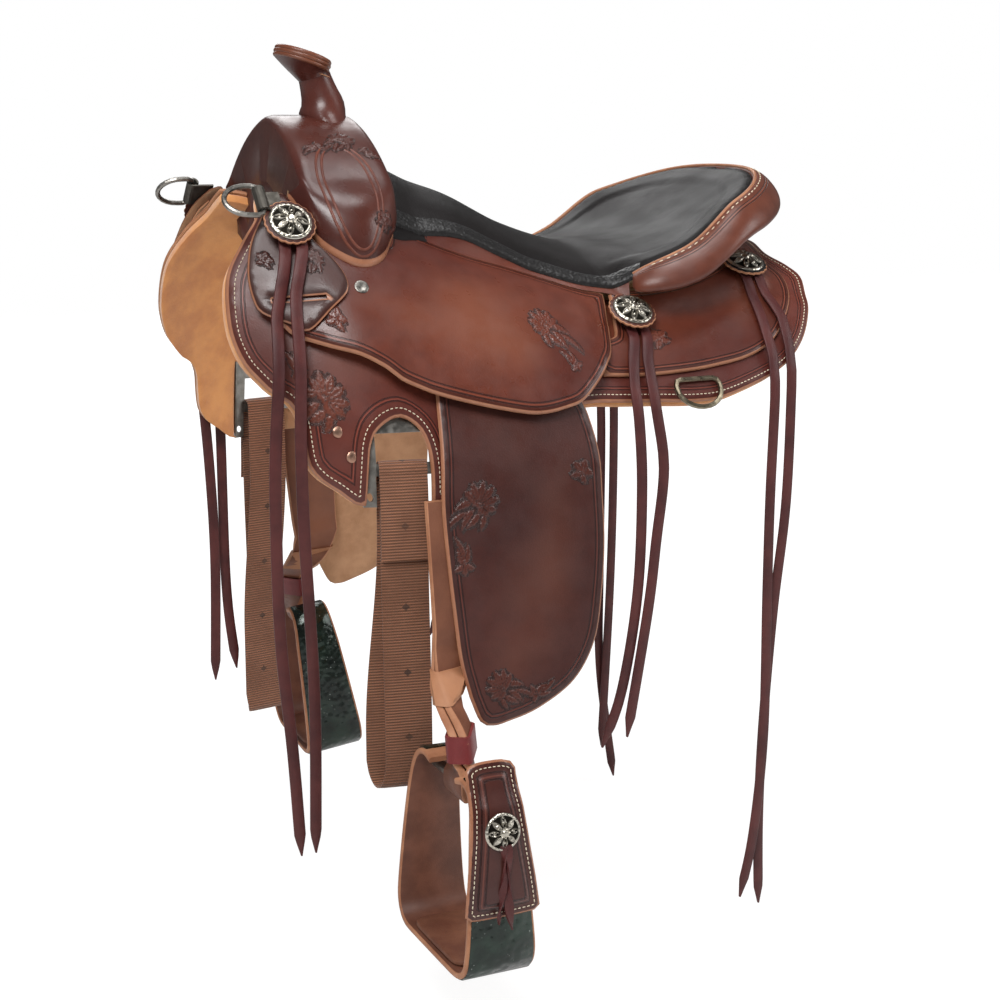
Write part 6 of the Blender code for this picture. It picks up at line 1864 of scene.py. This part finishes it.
FENDER_FLOWERS = (
    ("upper", (-147, -174), "bloom", 20, 1.12, 1), ("upper_stem", (-165, -222), "leaf", 88, 0.9, 1),
    ("rear", (-40, -152), "bud", 30, 1.0, 1), ("low", (-134, -341), "bloom", -30, 0.95, -1),
    ("low_tip", (-99, -348), "leaf", 168, 0.75, 1),
)


def flowers():
    for side, word in SIDES:
        fork_ring(side, word)
        for name, spot, kind, turn, size, mirror in FORK_FLOWERS:
            tooling(f"flower_{name}_{word}", side, spot, kind, turn, size, fork_face, 0.0, "saddle", "dark_leather",
                    TOOLED_DARK, mirror)
        for lift, mat, slot, edge, places in BACK_FLOWERS:
            for name, (x, z), kind, turn, size, mirror in places:
                tooling(f"flower_{name}_{word}", side, (x, at_spot(x, z)), kind, turn, size, on_back, lift, "saddle",
                        slot, mat, mirror, within=edge)
        for name, (x, z), kind, turn, size, mirror in FENDER_FLOWERS:
            tooling(f"flower_{name}_fender_{word}", side, (x, -z), kind, turn, size, fender_face, FENDER_THICK / 2,
                    f"leg_{word}", "dark_leather", TOOLED_DARK, mirror, leg_turn(side), FENDER_LOOP * (1, -1))


# ---- floor and light ----
FLOOR_Z, FLOOR_HALF = -0.652, 6  # in metres, as are the lamps' places and sizes
LAMPS = (
    ("key", (-1.3, -1.6, 1.8), (1.2, 0.9), 58),
    ("side", (1.9, -1.2, 0.9), (1.0, 1.2), 18),
    ("back", (0.3, 2.0, 1.4), (1.6, 1.0), 20),
    ("top", (0.2, -0.3, 2.2), (0.9, 0.9), 18),
)
LAMPS_LOOK_AT = Vector((0, 0, -0.15))


def floor():
    """A pale floor that keeps its shadows near the saddle and fades to white away from it."""
    mesh = bpy.data.meshes.new("floor")
    h = FLOOR_HALF
    mesh.from_pydata([(-h, -h, 0), (h, -h, 0), (h, h, 0), (-h, h, 0)], [], [(0, 1, 2, 3)])
    ground = bpy.data.objects.new("floor", mesh)
    ground.location = (0, 0, FLOOR_Z)
    bpy.context.scene.collection.objects.link(ground)
    m = Nodes("floor_white", (0.8, 0.8, 0.8), 0.9)
    ray = m.add("ShaderNodeLightPath").outputs
    seen = m.math("MAXIMUM", ray["Is Camera Ray"], m.math("MULTIPLY", ray["Is Glossy Ray"], 0.25))
    far = m.add("ShaderNodeVectorMath", {0: m.place}, operation="LENGTH").outputs["Value"]
    fade = m.add("ShaderNodeMapRange", {"Value": far, "From Min": 0.35, "From Max": 1.1, "To Min": 0.72}).outputs[0]
    glow = m.add("ShaderNodeEmission", {"Strength": 1.2}).outputs[0]
    both = m.add("ShaderNodeMixShader", {0: m.math("MULTIPLY", seen, fade), 1: m.shader.outputs[0], 2: glow})
    m.tree.links.new(both.outputs[0], m.tree.nodes["Material Output"].inputs["Surface"])
    mesh.materials.append(m.mat)


def studio():
    floor()
    world = bpy.data.worlds.new("studio")
    bpy.context.scene.world = world
    world.use_nodes = True
    tree = world.node_tree
    ray = add_node(tree, "ShaderNodeLightPath").outputs
    around = add_node(tree, "ShaderNodeMapRange", {"Value": ray["Is Glossy Ray"], "To Min": 0.32, "To Max": 0.13})
    strength = add_node(tree, "ShaderNodeMapRange", {"Value": ray["Is Camera Ray"], "To Min": around.outputs[0]})
    back = tree.nodes["Background"]
    tree.links.new(strength.outputs[0], back.inputs["Strength"])
    back.inputs["Color"].default_value = (1, 1, 1, 1)
    for name, place, size, power in LAMPS:
        light = bpy.data.lights.new(name, "AREA")
        light.shape = "RECTANGLE"
        light.size, light.size_y = size
        light.energy = power
        obj = bpy.data.objects.new(name, light)
        obj.location = place
        obj.rotation_euler = (LAMPS_LOOK_AT - obj.location).to_track_quat("-Z", "Y").to_euler()
        bpy.context.scene.collection.objects.link(obj)


# ---- the saddle, piece by piece ----
layers()
cad_looks()
seat()
cantle_roll()
cantle_back()
fork_cover()
tree_fork()
horn()
strings()
for side, word in SIDES:
    leg(side, word)
    latigo(side, word)
conchos()
rivets()
COVER_TREE = cover_tree()
flowers()
studio()
bpy.context.scene.view_settings.view_transform = "Standard"
